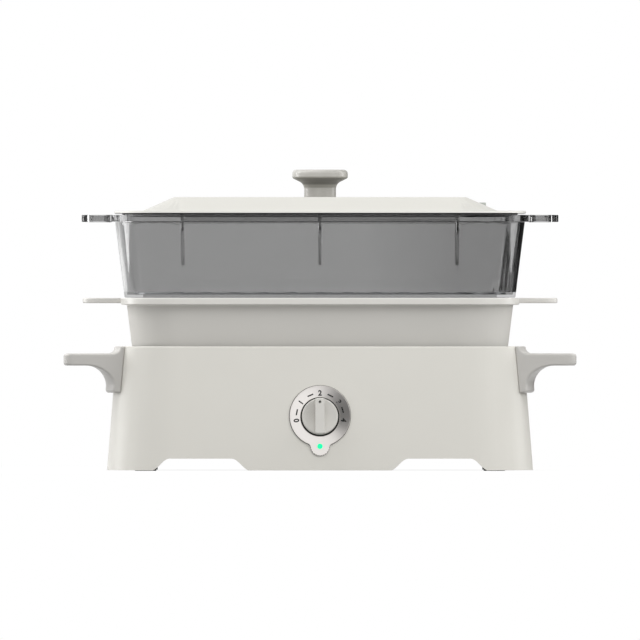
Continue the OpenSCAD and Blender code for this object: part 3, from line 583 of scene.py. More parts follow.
METALS = (Surface.BRUSHED, Surface.TURNED, Surface.CAST)
# Painted edge light of the clear plastic: side, start and full strength of the painted tone by how far the
# wall turns away, and its grey (a pale painted reflection on the left, a dark painted reflection on the
# right).
PAINTED_EDGE_LIGHT = ((-1.0, 0.5, 0.8, 0.9), (1.0, 0.45, 0.65, 0.08))


@dataclass(frozen=True)
class Finish:
    """One surface finish.

    Attributes:
        name: The material's name.
        surface: Its family.
        light: The lighter of its two near colours, in hexadecimal.
        dark: The darker one.
        rough: Middle of its roughness.
        coat: Strength of a clear coat.
        grain: Width of its texture, in metres.
        depth: Height of its bumps, in metres.
        fall: Slope of a turned face away from its middle.
        place: The frame that the pattern follows, in millimetres.
        spread: How far the roughness varies.
        bend: How strongly clear plastic refracts.
        rims: Whether its outermost edges get a pale painted reflection on the left and a deep grey painted
            reflection on the right.
    """

    name: str
    surface: Surface
    light: str
    dark: str
    rough: float = 0.4
    coat: float = 0.0
    grain: float = 0.0008
    depth: float = 0.00001
    fall: float = 0.0
    place: Matrix | None = None
    spread: float = 0.06
    bend: float = 1.49
    rims: bool = False

    def make(self, effects: Effects) -> bpy.types.Material:
        """Builds the material.

        Args:
            effects: The shared shader groups.

        Returns:
            The finished material.
        """
        material, graph = blank_material(self.name)
        spot = graph.node("ShaderNodeTexCoord").outputs["Object"]
        if self.place is not None:
            spot = self._placed(graph, spot)
        shader = graph.node("ShaderNodeBsdfPrincipled")
        shader.inputs["Metallic"].default_value = float(self.surface in METALS)
        shader.inputs["Coat Weight"].default_value = self.coat
        shader.inputs["Coat Roughness"].default_value = 0.12
        colour = graph.node("ShaderNodeGroup", node_tree=effects.drift)
        colour.inputs["Size"].default_value = 0.05
        colour.inputs["Light"].default_value = linear(self.light)
        colour.inputs["Dark"].default_value = linear(self.dark)
        graph.tree.links.new(spot, colour.inputs["Vector"])
        graph.tree.links.new(colour.outputs["Color"], shader.inputs["Base Color"])
        texture = self._texture(graph, effects, spot)
        rough = graph.node(
            "ShaderNodeMapRange",
            {"Value": texture.outputs["Mask"], "From Min": 0.3, "From Max": 0.7,
             "To Min": self.rough - self.spread, "To Max": self.rough + self.spread},
        )
        graph.tree.links.new(rough.outputs[0], shader.inputs["Roughness"])
        bump = graph.node("ShaderNodeBump", {"Strength": 1.0, "Height": texture.outputs["Height"]})
        bump.inputs["Distance"].default_value = 1.0 if self.surface is Surface.TURNED else self.depth
        graph.tree.links.new(bump.outputs[0], shader.inputs["Normal"])
        result = shader.outputs[0]
        if self.surface is Surface.CLEAR:
            result = self._clear(graph, shader, spot)
        if self.surface is Surface.LIT:
            shader.inputs["Emission Color"].default_value = linear(self.light)
            shader.inputs["Emission Strength"].default_value = 0.9
        graph.node("ShaderNodeOutputMaterial", {"Surface": result})
        return material

    def _placed(self, graph: Graph, spot: bpy.types.NodeSocket) -> bpy.types.NodeSocket:
        """Turns model coordinates into those of the finish's own frame.

        Args:
            graph: The material's graph.
            spot: Object coordinates.

        Returns:
            The turned coordinates.
        """
        back = self.place.inverted()
        turn = graph.node(
            "ShaderNodeMapping",
            {"Vector": spot, "Location": back.translation * MM, "Rotation": back.to_euler()},
        )
        return turn.outputs[0]

    def _texture(self, graph: Graph, effects: Effects, spot: bpy.types.NodeSocket) -> bpy.types.Node:
        """Places the group that gives the finish its texture.

        Args:
            graph: The material's graph.
            effects: The shared shader groups.
            spot: Coordinates that the texture follows.

        Returns:
            The group's node, with a height and a mask.
        """
        if self.surface is Surface.TURNED:
            node = graph.node("ShaderNodeGroup", node_tree=effects.rings)
            node.inputs["Pitch"].default_value = self.grain
            node.inputs["Fall"].default_value = self.fall
        elif self.surface in (Surface.BRUSHED, Surface.SLEEVE):
            node = graph.node("ShaderNodeGroup", node_tree=effects.brush)
            node.inputs["Size"].default_value = self.grain
            node.inputs["Stretch"].default_value = 40.0 if self.surface is Surface.BRUSHED else 3.0
        else:
            node = graph.node("ShaderNodeGroup", node_tree=effects.grain)
            node.inputs["Size"].default_value = self.grain
        graph.tree.links.new(spot, node.inputs["Vector"])
        return node

    def _clear(
        self, graph: Graph, shader: bpy.types.Node, spot: bpy.types.NodeSocket
    ) -> bpy.types.NodeSocket:
        """Makes the plastic clear.

        Args:
            graph: The material's graph.
            shader: Its shader.
            spot: Object coordinates.

        Returns:
            The shader that also lets lamp light through.
        """
        shader.inputs["Transmission Weight"].default_value = 1.0
        shader.inputs["IOR"].default_value = self.bend
        if self.rims:
            self._painted_rim_light(graph, shader, spot)
        path = graph.node("ShaderNodeLightPath")
        through = graph.node("ShaderNodeBsdfTransparent", {"Color": (0.72, 0.73, 0.74, 1.0)})
        mix = graph.node(
            "ShaderNodeMixShader",
            {0: path.outputs["Is Shadow Ray"], 1: shader.outputs[0], 2: through.outputs[0]},
        )
        return mix.outputs[0]

    @staticmethod
    def _painted_rim_light(graph: Graph, shader: bpy.types.Node, spot: bpy.types.NodeSocket) -> None:
        """Paints light into the plastic's tint at its outermost edges, where its wall is seen edge on: a pale
        painted reflection on the left, a deep grey painted reflection on the right.

        Args:
            graph: The material's graph.
            shader: Its shader.
            spot: Object coordinates.
        """
        facing = graph.node("ShaderNodeLayerWeight", {"Blend": 0.5}).outputs["Facing"]
        across = graph.node("ShaderNodeSeparateXYZ", {"Vector": spot}).outputs[0]
        tint = shader.inputs["Base Color"].links[0].from_socket
        for way, start, full, tone in PAINTED_EDGE_LIGHT:
            edge = graph.node("ShaderNodeMapRange", {"Value": facing, "From Min": start, "From Max": full})
            beside = graph.math("MULTIPLY", across, way)
            side = graph.node("ShaderNodeMapRange", {"Value": beside, "From Min": 0.156, "From Max": 0.164})
            mask = graph.math("MULTIPLY", edge.outputs[0], side.outputs[0])
            mix = graph.node("ShaderNodeMix", {0: mask, 6: tint}, data_type="RGBA")
            mix.inputs[7].default_value = (tone, tone, tone, 1.0)
            tint = mix.outputs[2]
        graph.tree.links.new(tint, shader.inputs["Base Color"])


FINISHES = (
    Finish("housing plastic", Surface.MOULDED, "e6e4dd", "e2e0d9",
           rough=0.42, grain=0.0007, depth=0.000006),
    Finish("cover plastic", Surface.MOULDED, "bab8b2", "b1afa9", rough=0.5, grain=0.0009),
    Finish("handle plastic", Surface.MOULDED, "cac8c4", "c5c3bf", rough=0.4, grain=0.0007, depth=0.000006),
    # one coat in two copies: the body darker as painted shade under the rim, the rim lighter as painted light
    Finish("pot body painted shade coat", Surface.COATED, "d7d5d0", "d4d2cd", rough=0.55, grain=0.0012, depth=0.000006),
    Finish("pot rim painted light coat", Surface.COATED, "e6e4df", "e3e1dc",
           rough=0.34, coat=0.15, grain=0.0012, depth=0.000006),
    Finish("lid plastic", Surface.MOULDED, "c6c5bf", "c4c3bd", rough=0.36, grain=0.0007, depth=0.000002),
    # a much lighter copy of the lid plastic: painted highlight on the border's upright faces
    Finish("lid edge painted highlight plastic", Surface.MOULDED, "f6f5ef", "f4f3ed",
           rough=0.36, grain=0.0007, depth=0.000002),
    Finish("lid knob plastic", Surface.MOULDED, "b9b7b2", "b5b3ae",
           rough=0.3, coat=0.2, grain=0.0007, depth=0.000005),
    # darker copies of the knob's plastic: painted shade on the flare and under the head
    Finish("lid knob flare painted shade", Surface.MOULDED, "98968f", "94928c",
           rough=0.35, coat=0.1, grain=0.0007, depth=0.000005),
    Finish("lid knob underside painted shade", Surface.MOULDED, "73716d", "6f6d69",
           rough=0.4, grain=0.0007, depth=0.000005),
    Finish("vent plastic", Surface.MOULDED, "b9bdb8", "b1b6b0", rough=0.35, coat=0.1),
    Finish("seal rubber", Surface.RUBBER, "2a2a2a", "232323", rough=0.5, grain=0.001),
    Finish("foot rubber", Surface.RUBBER, "4a4a4a", "3f3f3f", rough=0.75, grain=0.0012, depth=0.00002),
    Finish("black plastic", Surface.MOULDED, "1d1d1f", "161617", rough=0.35),
    Finish("switch plastic", Surface.MOULDED, "3c3c3f", "333336", rough=0.4),
    Finish("board lacquer", Surface.COATED, "2f6b45", "28603d", rough=0.3, coat=0.4),
    Finish("fuse ceramic", Surface.COATED, "e9e5da", "ddd8cb", rough=0.6, grain=0.0006, depth=0.00002),
    Finish("lamp glass", Surface.COATED, "eef7f2", "dcebe3", rough=0.1, coat=0.5),
    Finish("knob coat", Surface.COATED, "dddbd6", "d9d7d2",
           rough=0.3, coat=0.25, grain=0.0009, depth=0.000004),
    Finish("dial metal", Surface.TURNED, "efebe7", "e8e4e1",
           rough=0.4, grain=0.0004, depth=0.0, fall=0.33, place=KNOB_FRAME),
    Finish("plate metal", Surface.TURNED, "c3c3c4", "b6b6b8",
           rough=0.32, grain=0.0012, depth=0.0, place=PLATE_FRAME),
    Finish("probe metal", Surface.TURNED, "d8d9da", "cfd0d2",
           rough=0.22, grain=0.0006, depth=0.0, place=PLATE_FRAME),
    Finish("liner metal", Surface.BRUSHED, "cfcfcd", "c4c4c2", rough=0.36, grain=0.0004, depth=0.000006),
    Finish("tray metal", Surface.BRUSHED, "d4d6d7", "c8cacc", rough=0.3, grain=0.0004, depth=0.000005),
    Finish("spring steel", Surface.BRUSHED, "b6b8ba", "a6a8aa", rough=0.25),
    Finish("plated steel", Surface.CAST, "a9acae", "9ea1a4", rough=0.3, depth=0.000006),
    Finish("heater steel", Surface.CAST, "7e756d", "5f5751", rough=0.45, grain=0.0015),
    Finish("brass", Surface.CAST, "d1ab55", "bf963f", rough=0.28, grain=0.001, depth=0.000004),
    # its outermost edges carry painted reflections: pale on the left, deep grey on the right
    Finish("steamer plastic", Surface.CLEAR, "bcbcbc", "b9b9b9",
           rough=0.02, grain=0.05, depth=0.000001, spread=0.012, rims=True),
    Finish("steamer inner plastic", Surface.CLEAR, "bcbcbc", "b9b9b9",
           rough=0.02, grain=0.05, depth=0.000001, spread=0.012),
    Finish("steamer floor plastic", Surface.CLEAR, "c2c2c2", "bfbfbf",
           rough=0.03, grain=0.05, depth=0.000001, spread=0.012, bend=1.0),
    # a darker tint on the ribs' upright edges: painted shade for the dark line they show
    Finish("steamer rib painted shade plastic", Surface.CLEAR, "6c6c6c", "696969",
           rough=0.02, grain=0.05, depth=0.000001, spread=0.012),
    Finish("lens green", Surface.LIT, "0ef59b", "0ce892", rough=0.3),
    Finish("dark ink", Surface.INK, "1b1b1a", "161615", rough=0.6),
    # a dark sheet's colour: painted shadow round the dial plate and in the gap round the knob
    Finish("painted shadow foam", Surface.RUBBER, "3b3a38", "333230", rough=0.8),
    Finish("grey ink", Surface.INK, "9a9892", "8e8c86", rough=0.5),
    Finish("red sleeve", Surface.SLEEVE, "a83d34", "8f2f28", rough=0.7, grain=0.0006, depth=0.00008),
)

NODE_FINISH = {
    "bottom_cover": "cover plastic", "rubber_feet": "foot rubber", "well_liner": "liner metal",
    "heating_plate": "plate metal", "heater_tube": "heater steel", "heater_pins": "brass",
    "plate_spacers": "plated steel", "plate_screws": "plated steel", "probe_holder": "plated steel",
    "probe_cap": "probe metal", "probe_sensor": "black plastic", "probe_spring": "spring steel",
    "thermal_fuse": "fuse ceramic", "fuse_clip": "plated steel", "handle_screws": "plated steel",
    "lamp": "lamp glass", "lamp_board": "board lacquer", "switch_bracket": "plated steel",
    "thermostat": "switch plastic", "switch_tabs": "brass", "bush_nut": "plated steel",
    "knob_shaft": "plated steel", "knob_pointer": "grey ink", "inlet_housing": "black plastic",
    "inlet_pins": "brass", "inlet_screws": "plated steel", "wire_harness": "red sleeve",
    "knob_washer": "seal rubber", "lid_screw": "plated steel", "steam_vent": "vent plastic",
    "base_shell": "housing plastic", "left_handle": "handle plastic", "right_handle": "handle plastic",
    "pot": "pot body painted shade coat", "steamer_box": "steamer plastic", "lid_panel": "lid plastic",
    "lid_seal": "seal rubber", "lid_knob": "lid knob plastic", "dial_plate": "dial metal",
    "control_knob": "knob coat", "lamp_lens": "lens green", "steam_tray": "tray metal",
    "cover_screws": "plated steel",
}


@dataclass
class Workshop:
    """What every sub-assembly needs: the loaded frame and the finishes."""

    frame: dict
    finishes: dict[str, bpy.types.Material]

    def node(self, name: str) -> bpy.types.Object:
        """The object of a CAD node."""
        return self.frame["nodes"][name]

    def finish(self, name: str) -> bpy.types.Material:
        """A finish by its name."""
        return self.finishes[name]

    def dress_nodes(self) -> None:
        """Gives every CAD node its finish."""
        for name, finish in NODE_FINISH.items():
            materials = self.node(name).data.materials
            materials.clear()
            materials.append(self.finish(finish))

    def settle(self, piece: bpy.types.Object, body: str, *nodes: str) -> None:
        """Lets a piece ride on a body, in place of CAD nodes.

        Args:
            piece: The finished piece.
            body: The CAD body that carries it.
            nodes: CAD nodes that it stands for.
        """
        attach(piece, body)
        if nodes:
            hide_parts(*nodes)
        LOG.info("%s rides on %s", piece.name, body)

    def softened(
        self, node: str, body: str, width: float, degrees: float = 30.0, shortest: float = 0.9,
        parts: int = 3, wanted: Callable[[bmesh.types.BMEdge], bool] | None = None,
    ) -> bpy.types.Object:
        """A CAD node with the edges of a moulded or pressed piece.

        Args:
            node: The CAD node.
            body: The body that it belongs to.
            width: Reach of the rounding on each face, in millimetres.
            degrees: Edges that turn by more than this are rounded.
            shortest: Shorter edges are left as they are.
            parts: Number of faces across the rounding.
            wanted: A further test of an edge.

        Returns:
            The piece that replaces the node.
        """
        sketch = solid_copy(self.node(node))
        sketch.soften(
            width, parts, lambda e: sharp_edge(e, degrees, shortest) and (wanted is None or wanted(e))
        )
        piece = sketch.done(node + "_soft", self.finish(NODE_FINISH[node]))
        self.settle(piece, body, node)
        return piece


def plain_mesh(holder: bpy.types.Object) -> bpy.types.Mesh:
    """Turns an object into a plain mesh and removes the object.

    Args:
        holder: The object, with its modifiers.

    Returns:
        The mesh that they come to.
    """
    view = bpy.context.evaluated_depsgraph_get()
    mesh = bpy.data.meshes.new_from_object(holder.evaluated_get(view))
    bpy.data.objects.remove(holder)
    return mesh


@dataclass
class Repeats:
    """Copies of one small form at chosen points, made with Geometry Nodes."""

    name: str
    form: bpy.types.Object
    points: list[Vector]
    turns: list[Place]
    finish: bpy.types.Material
    size: float = 1.0

    def make(self) -> bpy.types.Object:
        """Builds the tree and applies it.

        Returns:
            One plain mesh object that holds every copy.
        """
        tree = bpy.data.node_groups.new(self.name + " layout", "GeometryNodeTree")
        face = tree.interface
        face.new_socket("Geometry", in_out="INPUT", socket_type="NodeSocketGeometry")
        face.new_socket("Form", in_out="INPUT", socket_type="NodeSocketObject")
        face.new_socket("Size", in_out="INPUT", socket_type="NodeSocketFloat")
        face.new_socket("Geometry", in_out="OUTPUT", socket_type="NodeSocketGeometry")
        graph = Graph(tree)
        source, sink = graph.node("NodeGroupInput"), graph.node("NodeGroupOutput")
        form = graph.node("GeometryNodeObjectInfo", {"Object": source.outputs["Form"]})
        turn = graph.node(
            "GeometryNodeInputNamedAttribute", {"Name": "turn"}, data_type="FLOAT_VECTOR"
        )
        copies = graph.node(
            "GeometryNodeInstanceOnPoints",
            {"Points": source.outputs["Geometry"], "Instance": form.outputs["Geometry"],
             "Rotation": turn.outputs[0], "Scale": source.outputs["Size"]},
        )
        real = graph.node("GeometryNodeRealizeInstances", {"Geometry": copies.outputs[0]})
        dressed = graph.node(
            "GeometryNodeSetMaterial", {"Geometry": real.outputs[0], "Material": self.finish}
        )
        tree.links.new(dressed.outputs[0], sink.inputs[0])

        seeds = bpy.data.meshes.new(self.name + " points")
        seeds.from_pydata([p * MM for p in self.points], [], [])
        turns = seeds.attributes.new("turn", "FLOAT_VECTOR", "POINT")
        for item, value in zip(turns.data, self.turns):
            item.vector = value
        holder = linked(self.name + "_layout", seeds)
        layout = holder.modifiers.new("layout", "NODES")
        layout.node_group = tree
        values = {"Form": self.form, "Size": self.size}
        for item in face.items_tree:
            if item.in_out == "INPUT" and item.name in values:
                layout[item.identifier] = values[item.name]
        mesh = plain_mesh(holder)
        mesh.name = self.name
        bpy.data.objects.remove(self.form)
        return linked(self.name, mesh)


@dataclass
class Base:
    """The heating base: housing, handles and the screws of its cover."""

    shop: Workshop
    edge: float = 0.8
    head_r: float = 3.0
    head_h: float = 1.1
    head_edge: float = 0.4
    recess: float = 0.5
    cross_l: float = 1.7
    cross_w: float = 0.35
    shank_r: float = 1.5
    shank_z: float = 15.5

    def build(self) -> None:
        """Makes and places every piece."""
        self.housing()
        Handle(self.shop, "left", -1.0).build()
        Handle(self.shop, "right", 1.0).build()
        self.cover_screws()

    def housing(self) -> None:
        """Rounds the edges of the housing's top, and keeps the cut-outs crisp."""
        self.shop.softened(
            "base_shell", "base", self.edge, 25.0, 0.9, 3,
            lambda e: all(v.co.z > HOUSING.height - 0.02 for v in e.verts),
        )

    def cover_screws(self) -> None:
        """Domed screws with a cross recess under the bottom cover."""
        steel = self.shop.finish("plated steel")
        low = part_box("cover_screws")[0].z / MM
        r, h, half = self.head_r, self.head_h, self.cross_w
        arm = [(half, self.cross_l), (-half, self.cross_l), (-half, half)]
        cross = [(x * math.cos(t) - y * math.sin(t), x * math.sin(t) + y * math.cos(t))
                 for t in (0, math.pi / 2, math.pi, 3 * math.pi / 2) for x, y in arm]
        flat_r = r - self.head_edge
        form = Sketch()
        form.prism(HERE, [circle(flat_r, 24), cross], 0.0, self.recess)
        form.lathe(HERE, [(flat_r, 0.0), (r, 0.35), (r, h), (0, h)], 24)
        form.lathe(HERE, [(0, self.recess), (flat_r, self.recess)], 24)
        form.lathe(HERE, [(self.shank_r, h), (self.shank_r, self.shank_z), (0, self.shank_z)], 16)
        head = form.done("screw form", steel, even=False)
        corners = self.shop.node("cover_screws").data.vertices
        spots = self._centres(sorted({(round(v.co.x / MM, 1), round(v.co.y / MM, 1)) for v in corners}))
        screws = Repeats(
            "cover_screws_crossed", head, [Vector((x, y, low)) for x, y in spots],
            [(0.0, 0.0, 0.4 * i) for i in range(len(spots))], steel,
        ).make()
        self.shop.settle(screws, "base", "cover_screws")

    def _centres(self, points: Sequence[Point]) -> list[Point]:
        """Finds the screws from their corners seen from above.

        Args:
            points: The corners of all screws.

        Returns:
            The middle of each group of points that one head covers.
        """
        groups: list[list[Point]] = []
        for p in points:
            for group in groups:
                if math.dist(p, group[0]) < 2 * self.head_r + 0.2:
                    group.append(p)
                    break
            else:
                groups.append([p])
        return [tuple((min(values) + max(values)) / 2 for values in zip(*group)) for group in groups]


@dataclass
class Handle:
    """One side handle: a curved bracket whose flat grip has soft edges all round."""

    shop: Workshop
    side: str
    way: float
    half_l: float = 92.0
    grip_r: float = 9.0
    tip: float = 217.566
    foot_z: float = 66.1
    under_z: float = 72.0
    under_r: float = 17.2
    grip_z: float = 89.2
    grip_top: float = 99.4
    bracket_t: float = 6.6
    crest_t: float = 2.0
    crest_w: float = 6.0
    crest_grow: Point = (0.25, 0.24)
    foot_edge: float = 2.6
    tip_edge: float = 2.4
    crest_edge: float = 0.8
    end_edge: float = 1.5
    lap: float = 0.1
    steps: int = 12
    crest_steps: int = 8
    even_from: float = 64.0
    even_step: float = 19.0 / 6

    def section(self, y: float) -> list[Point]:
        """Outline across the handle at a depth, anticlockwise seen from the front.

        Args:
            y: Distance behind the housing's middle.

        Returns:
            Points to the right and up.
        """
        top, low = HOUSING.height, self.foot_z
        top_x, foot_x = self.wall_x(y, top), self.wall_x(y, low)
        back_x = self.wall_x(y, self.under_z) + self.bracket_t
        under_x = HOUSING.at(self.under_z).half_w + self.bracket_t + self.under_r
        drop = HOUSING.top.half_w - top_x
        crest_t = self.crest_t + self.crest_grow[0] * drop
        crest_w = self.crest_w + self.crest_grow[1] * drop
        past = max(0.0, abs(y) - self.half_l + self.grip_r)
        tip = self.tip - self.grip_r + math.sqrt(max(0.0, self.grip_r**2 - past**2))
        corners = [(foot_x + self.lap, low, 0.0), (foot_x + self.bracket_t, low, self.foot_edge)]
        for i in range(self.steps + 1):
            t = math.radians(90 / self.steps * i)
            x = under_x - (under_x - back_x) * math.cos(t)
            corners.append((x, self.under_z + self.under_r * math.sin(t), 0.0))
        corners += [(tip, self.grip_z, self.tip_edge), (tip, self.grip_top, self.tip_edge)]
        for i in range(self.crest_steps + 1):
            t = math.radians(90 - 90 / self.crest_steps * i)
            x = top_x + crest_t + crest_w * (1 - math.cos(t))
            edge = self.crest_edge if i == self.crest_steps else 0.0
            corners.append((x, top - (top - self.grip_top) * math.sin(t), edge))
        corners.append((top_x + self.lap, top, 0.0))
        return filleted(corners, 5)

    @staticmethod
    def wall_x(y: float, z: float) -> float:
        """How far to the side the housing's wall stands.

        Args:
            y: Distance behind the housing's middle.
            z: Height.

        Returns:
            The distance from the middle.
        """
        plan = HOUSING.at(z)
        past = max(0.0, abs(y) - plan.half_d + plan.corner)
        return plan.half_w - plan.corner + math.sqrt(plan.corner**2 - past**2)

    def build(self) -> None:
        """Lofts the sections from end to end, with rounded end faces."""
        flat, edge = self.half_l - self.grip_r, self.end_edge
        half = [(self.even_from + self.even_step * i, 0.0) for i in range(6)]
        for angle in (0, 15, 30, 45, 60, 75):
            half.append((flat + (self.grip_r - edge) * math.sin(math.radians(angle)), 0.0))
        for angle in (0, 22.5, 45, 67.5, 90):
            t = math.radians(angle)
            half.append((self.half_l - edge + edge * math.sin(t), edge * (1 - math.cos(t))))
        stations = [(-y, by) for y, by in reversed(half)] + half
        sketch = Sketch()
        rings = []
        for y, by in stations:
            path = inset(self.section(y), by)
            rings.append(sketch.ring(HERE, [(self.way * x, MID_Y + y, z) for x, z in path]))
        for a, b in zip(rings, rings[1:]):
            sketch.bridge(a, b)
        for ring in (rings[0], rings[-1]):
            sketch.bm.faces.new(ring)
        plastic = self.shop.finish("handle plastic")
        piece = sketch.done(self.side + "_handle_soft", plastic, sharp=40.0, flat=12)
        self.shop.settle(piece, "base", self.side + "_handle")


@dataclass
class Dial:
    """The dial: its plate, printed scale, knob and lens, all in the front wall's frame."""

    shop: Workshop
    plate_r: float = 25.8
    plate_rise: float = 0.8
    plate_t: float = 1.0
    lobe_r: float = 7.8
    lobe_y: float = -25.0
    fillet: float = 4.0
    plate_edge: float = 0.35
    hole_r: float = 16.6
    knob_r: float = 15.3
    knob_h: float = 13.0
    knob_edge: float = 0.9
    rim_z: float = 6.2
    dish_z: float = 4.5
    bar_w: float = 8.2
    bar_edge: float = 0.8
    bar_flare: float = 1.12
    scale_r: float = 20.0
    figure_h: float = 6.2
    figure_bold: float = 0.22
    dash: Point = (2.6, 0.55)
    ink_t: float = 0.04
    lens_r: float = 2.05
    lens_y: float = -25.1
    lens_rise: float = 0.2
    shadow_ring_w: float = 0.35
    shadow_ring_t: float = 0.3
    labels: Sequence[tuple[str, float]] = (
        ("0", -99.0), ("1", -53.0), ("2", 0.0), ("3", 52.0), ("4", 98.0),
    )
    dashes: Sequence[float] = (-79.0, -24.0, 26.0, 73.0)

    def build(self) -> None:
        """Makes and places every piece."""
        self.plate()
        self.painted_shadow_ring()
        self.knob()
        self.lens()
        self.scale_print()

    def outline(self) -> list[Point]:
        """Outline of the plate: a disc and a lobe, joined by hollow fillets.

        Returns:
            Points in the front wall's frame.
        """
        far, near = self.plate_r + self.fillet, self.lobe_r + self.fillet
        span = self.plate_rise - self.lobe_y
        down = (far * far - near * near + span * span) / (2 * span)
        across = math.sqrt(far * far - down * down)
        y = self.plate_rise - down
        up_turn = math.degrees(math.atan2(self.plate_rise - y, -across))
        low_turn = math.degrees(math.atan2(self.lobe_y - y, -across))
        big = math.degrees(math.atan2(y - self.plate_rise, across))
        small = math.degrees(math.atan2(y - self.lobe_y, across))
        right = arc(across, y, self.fillet, low_turn % 360, up_turn, 8)
        left = [(-px, py) for px, py in reversed(right)]
        disc = arc(0, self.plate_rise, self.plate_r, big, 180 - big, 72)
        lobe = arc(0, self.lobe_y, self.lobe_r, 180 - small, 360 + small, 24)
        return disc[:-1] + left[:-1] + lobe[:-1] + right[:-1]

    def plate(self) -> None:
        """The teardrop plate with its soft outer edge."""
        sketch = Sketch()
        eye = circle(self.lens_r + 0.1, 24, self.lens_y)
        sketch.prism(KNOB_FRAME, [self.outline(), circle(self.hole_r, 96), eye], 0.0, self.plate_t)
        sketch.soften(self.plate_edge, 3, lambda e: sharp_edge(e, 60.0, 0.0) and self._upper(e))
        plate = sketch.done("dial_plate_turned", self.shop.finish("dial metal"))
        self.shop.settle(plate, "base", "dial_plate")

    def painted_shadow_ring(self) -> None:
        """A thin dark ring that paints the shadow round the plate and in the gap round the knob."""
        sketch = Sketch()
        rim = inset(self.outline(), -self.shadow_ring_w)
        eye = circle(self.lens_r + 0.9, 24, self.lens_y)
        sketch.prism(KNOB_FRAME, [rim, circle(self.hole_r - 2.6, 96), eye], 0.02, self.shadow_ring_t)
        piece = sketch.done("dial_gasket", self.shop.finish("painted shadow foam"))
        self.shop.settle(piece, "base")

    def _upper(self, edge: bmesh.types.BMEdge) -> bool:
        """Whether an edge lies on the plate's outer face."""
        back = KNOB_FRAME.inverted()
        return all(abs((back @ v.co).z - self.plate_t) < 0.01 for v in edge.verts)

    def knob(self) -> None:
        """A dished knob with a grip bar across it."""
        r, low, wall = self.knob_r, 0.6, 5.6
        sketch = Sketch()
        sketch.lathe(
            KNOB_FRAME,
            [(0, low), (r - 0.5, low), (r, low + 0.5), (r, wall)]
            + arc(r - self.knob_edge, wall, self.knob_edge, 15, 90, 5)
            + [(r - 2.4, self.rim_z), (4.2, self.dish_z), (0, self.dish_z)],
        )
        grip = self._grip(r - 0.15, 3.0)
        spare = bpy.data.meshes.new("grip")
        grip.bm.to_mesh(spare)
        grip.bm.free()
        sketch.bm.from_mesh(spare)
        bpy.data.meshes.remove(spare)
        knob = sketch.done("control_knob_dished", self.shop.finish("knob coat"))
        self.shop.settle(knob, "knob", "control_knob")

    def _grip(self, reach: float, low: float) -> Sketch:
        """The grip bar, wider at its foot.

        Args:
            reach: How far it reaches from the knob's middle.
            low: Height of its foot in the wall's frame.

        Returns:
            A sketch that holds it.
        """
        end = math.degrees(math.asin(self.bar_w / 2 / reach))
        bar = arc(0, 0, reach, 90 - end, 90 + end, 10) + arc(0, 0, reach, 270 - end, 270 + end, 10)
        grip = Sketch()
        grip.prism(KNOB_FRAME, [bar], low, self.knob_h)
        back = KNOB_FRAME.inverted()
        for vert in grip.bm.verts:
            spot = back @ vert.co
            if spot.z < low + 1.0:
                vert.co = KNOB_FRAME @ Vector((spot.x * self.bar_flare, spot.y, spot.z))
        top = self.knob_h - 0.1
        grip.soften(
            self.bar_edge, 4,
            lambda e: sharp_edge(e, 50.0, 0.0) and all((back @ v.co).z > top for v in e.verts),
        )
        return grip

    def lens(self) -> None:
        """The green lens, a low dome in the plate's lobe."""
        sketch = Sketch()
        frame = KNOB_FRAME @ Matrix.Translation((0, self.lens_y, 0))
        r, rise = self.lens_r, self.lens_rise
        flange = [(0, -3.9), (2.9, -3.9), (2.9, -3.0), (r, -3.0)]
        dome = [(r * math.cos(t), self.plate_t + rise * math.sin(t)) for t in (0.0, 0.4, 0.8, 1.2)]
        sketch.lathe(frame, flange + dome + [(0, self.plate_t + rise)], 48)
        lens = sketch.done("lamp_lens_domed", self.shop.finish("lens green"))
        self.shop.settle(lens, "base", "lamp_lens")

    def scale_print(self) -> None:
        """Plain figures and dashes printed round the knob."""
        ink = self.shop.finish("dark ink")
        spots, turns = [], []
        for angle in self.dashes:
            t = math.radians(angle)
            at = Vector((self.scale_r * math.sin(t), self.scale_r * math.cos(t), self.plate_t))
            spots.append(KNOB_FRAME @ at)
            turns.append(tuple((KNOB_FRAME.to_3x3() @ Matrix.Rotation(-t, 3, "Z")).to_euler()))
        form = Sketch()
        form.prism(HERE, [oblong(*self.dash)], -0.02, 0.05)
        dash = form.done("dash form", ink, even=False)
        marks = Repeats("scale_dashes", dash, spots, turns, ink).make()
        self.shop.settle(marks, "base")
        for text, angle in self.labels:
            self._figure(text, angle, ink)

    def _figure(self, text: str, angle: float, ink: bpy.types.Material) -> None:
        """One printed figure, turned to face the knob.

        Args:
            text: The figure.
            angle: Its place on the scale, in degrees from the top.
            ink: The print's finish.
        """
        curve = bpy.data.curves.new("figure", "FONT")
        curve.body, curve.size = text, self.figure_h
        curve.align_x = curve.align_y = "CENTER"
        curve.extrude, curve.offset = self.ink_t, self.figure_bold
        mesh = plain_mesh(linked("figure", curve))
        t = math.radians(angle)
        spot = (self.scale_r * math.sin(t), self.scale_r * math.cos(t), self.plate_t + 0.01)
        turned = Matrix.Translation(spot) @ Matrix.Rotation(-t, 4, "Z")
        mesh.transform(Matrix.Scale(MM, 4) @ KNOB_FRAME @ turned)
        mesh.materials.clear()
        mesh.materials.append(ink)
        piece = linked("scale_figure_" + text, mesh)
        self.shop.settle(piece, "base")


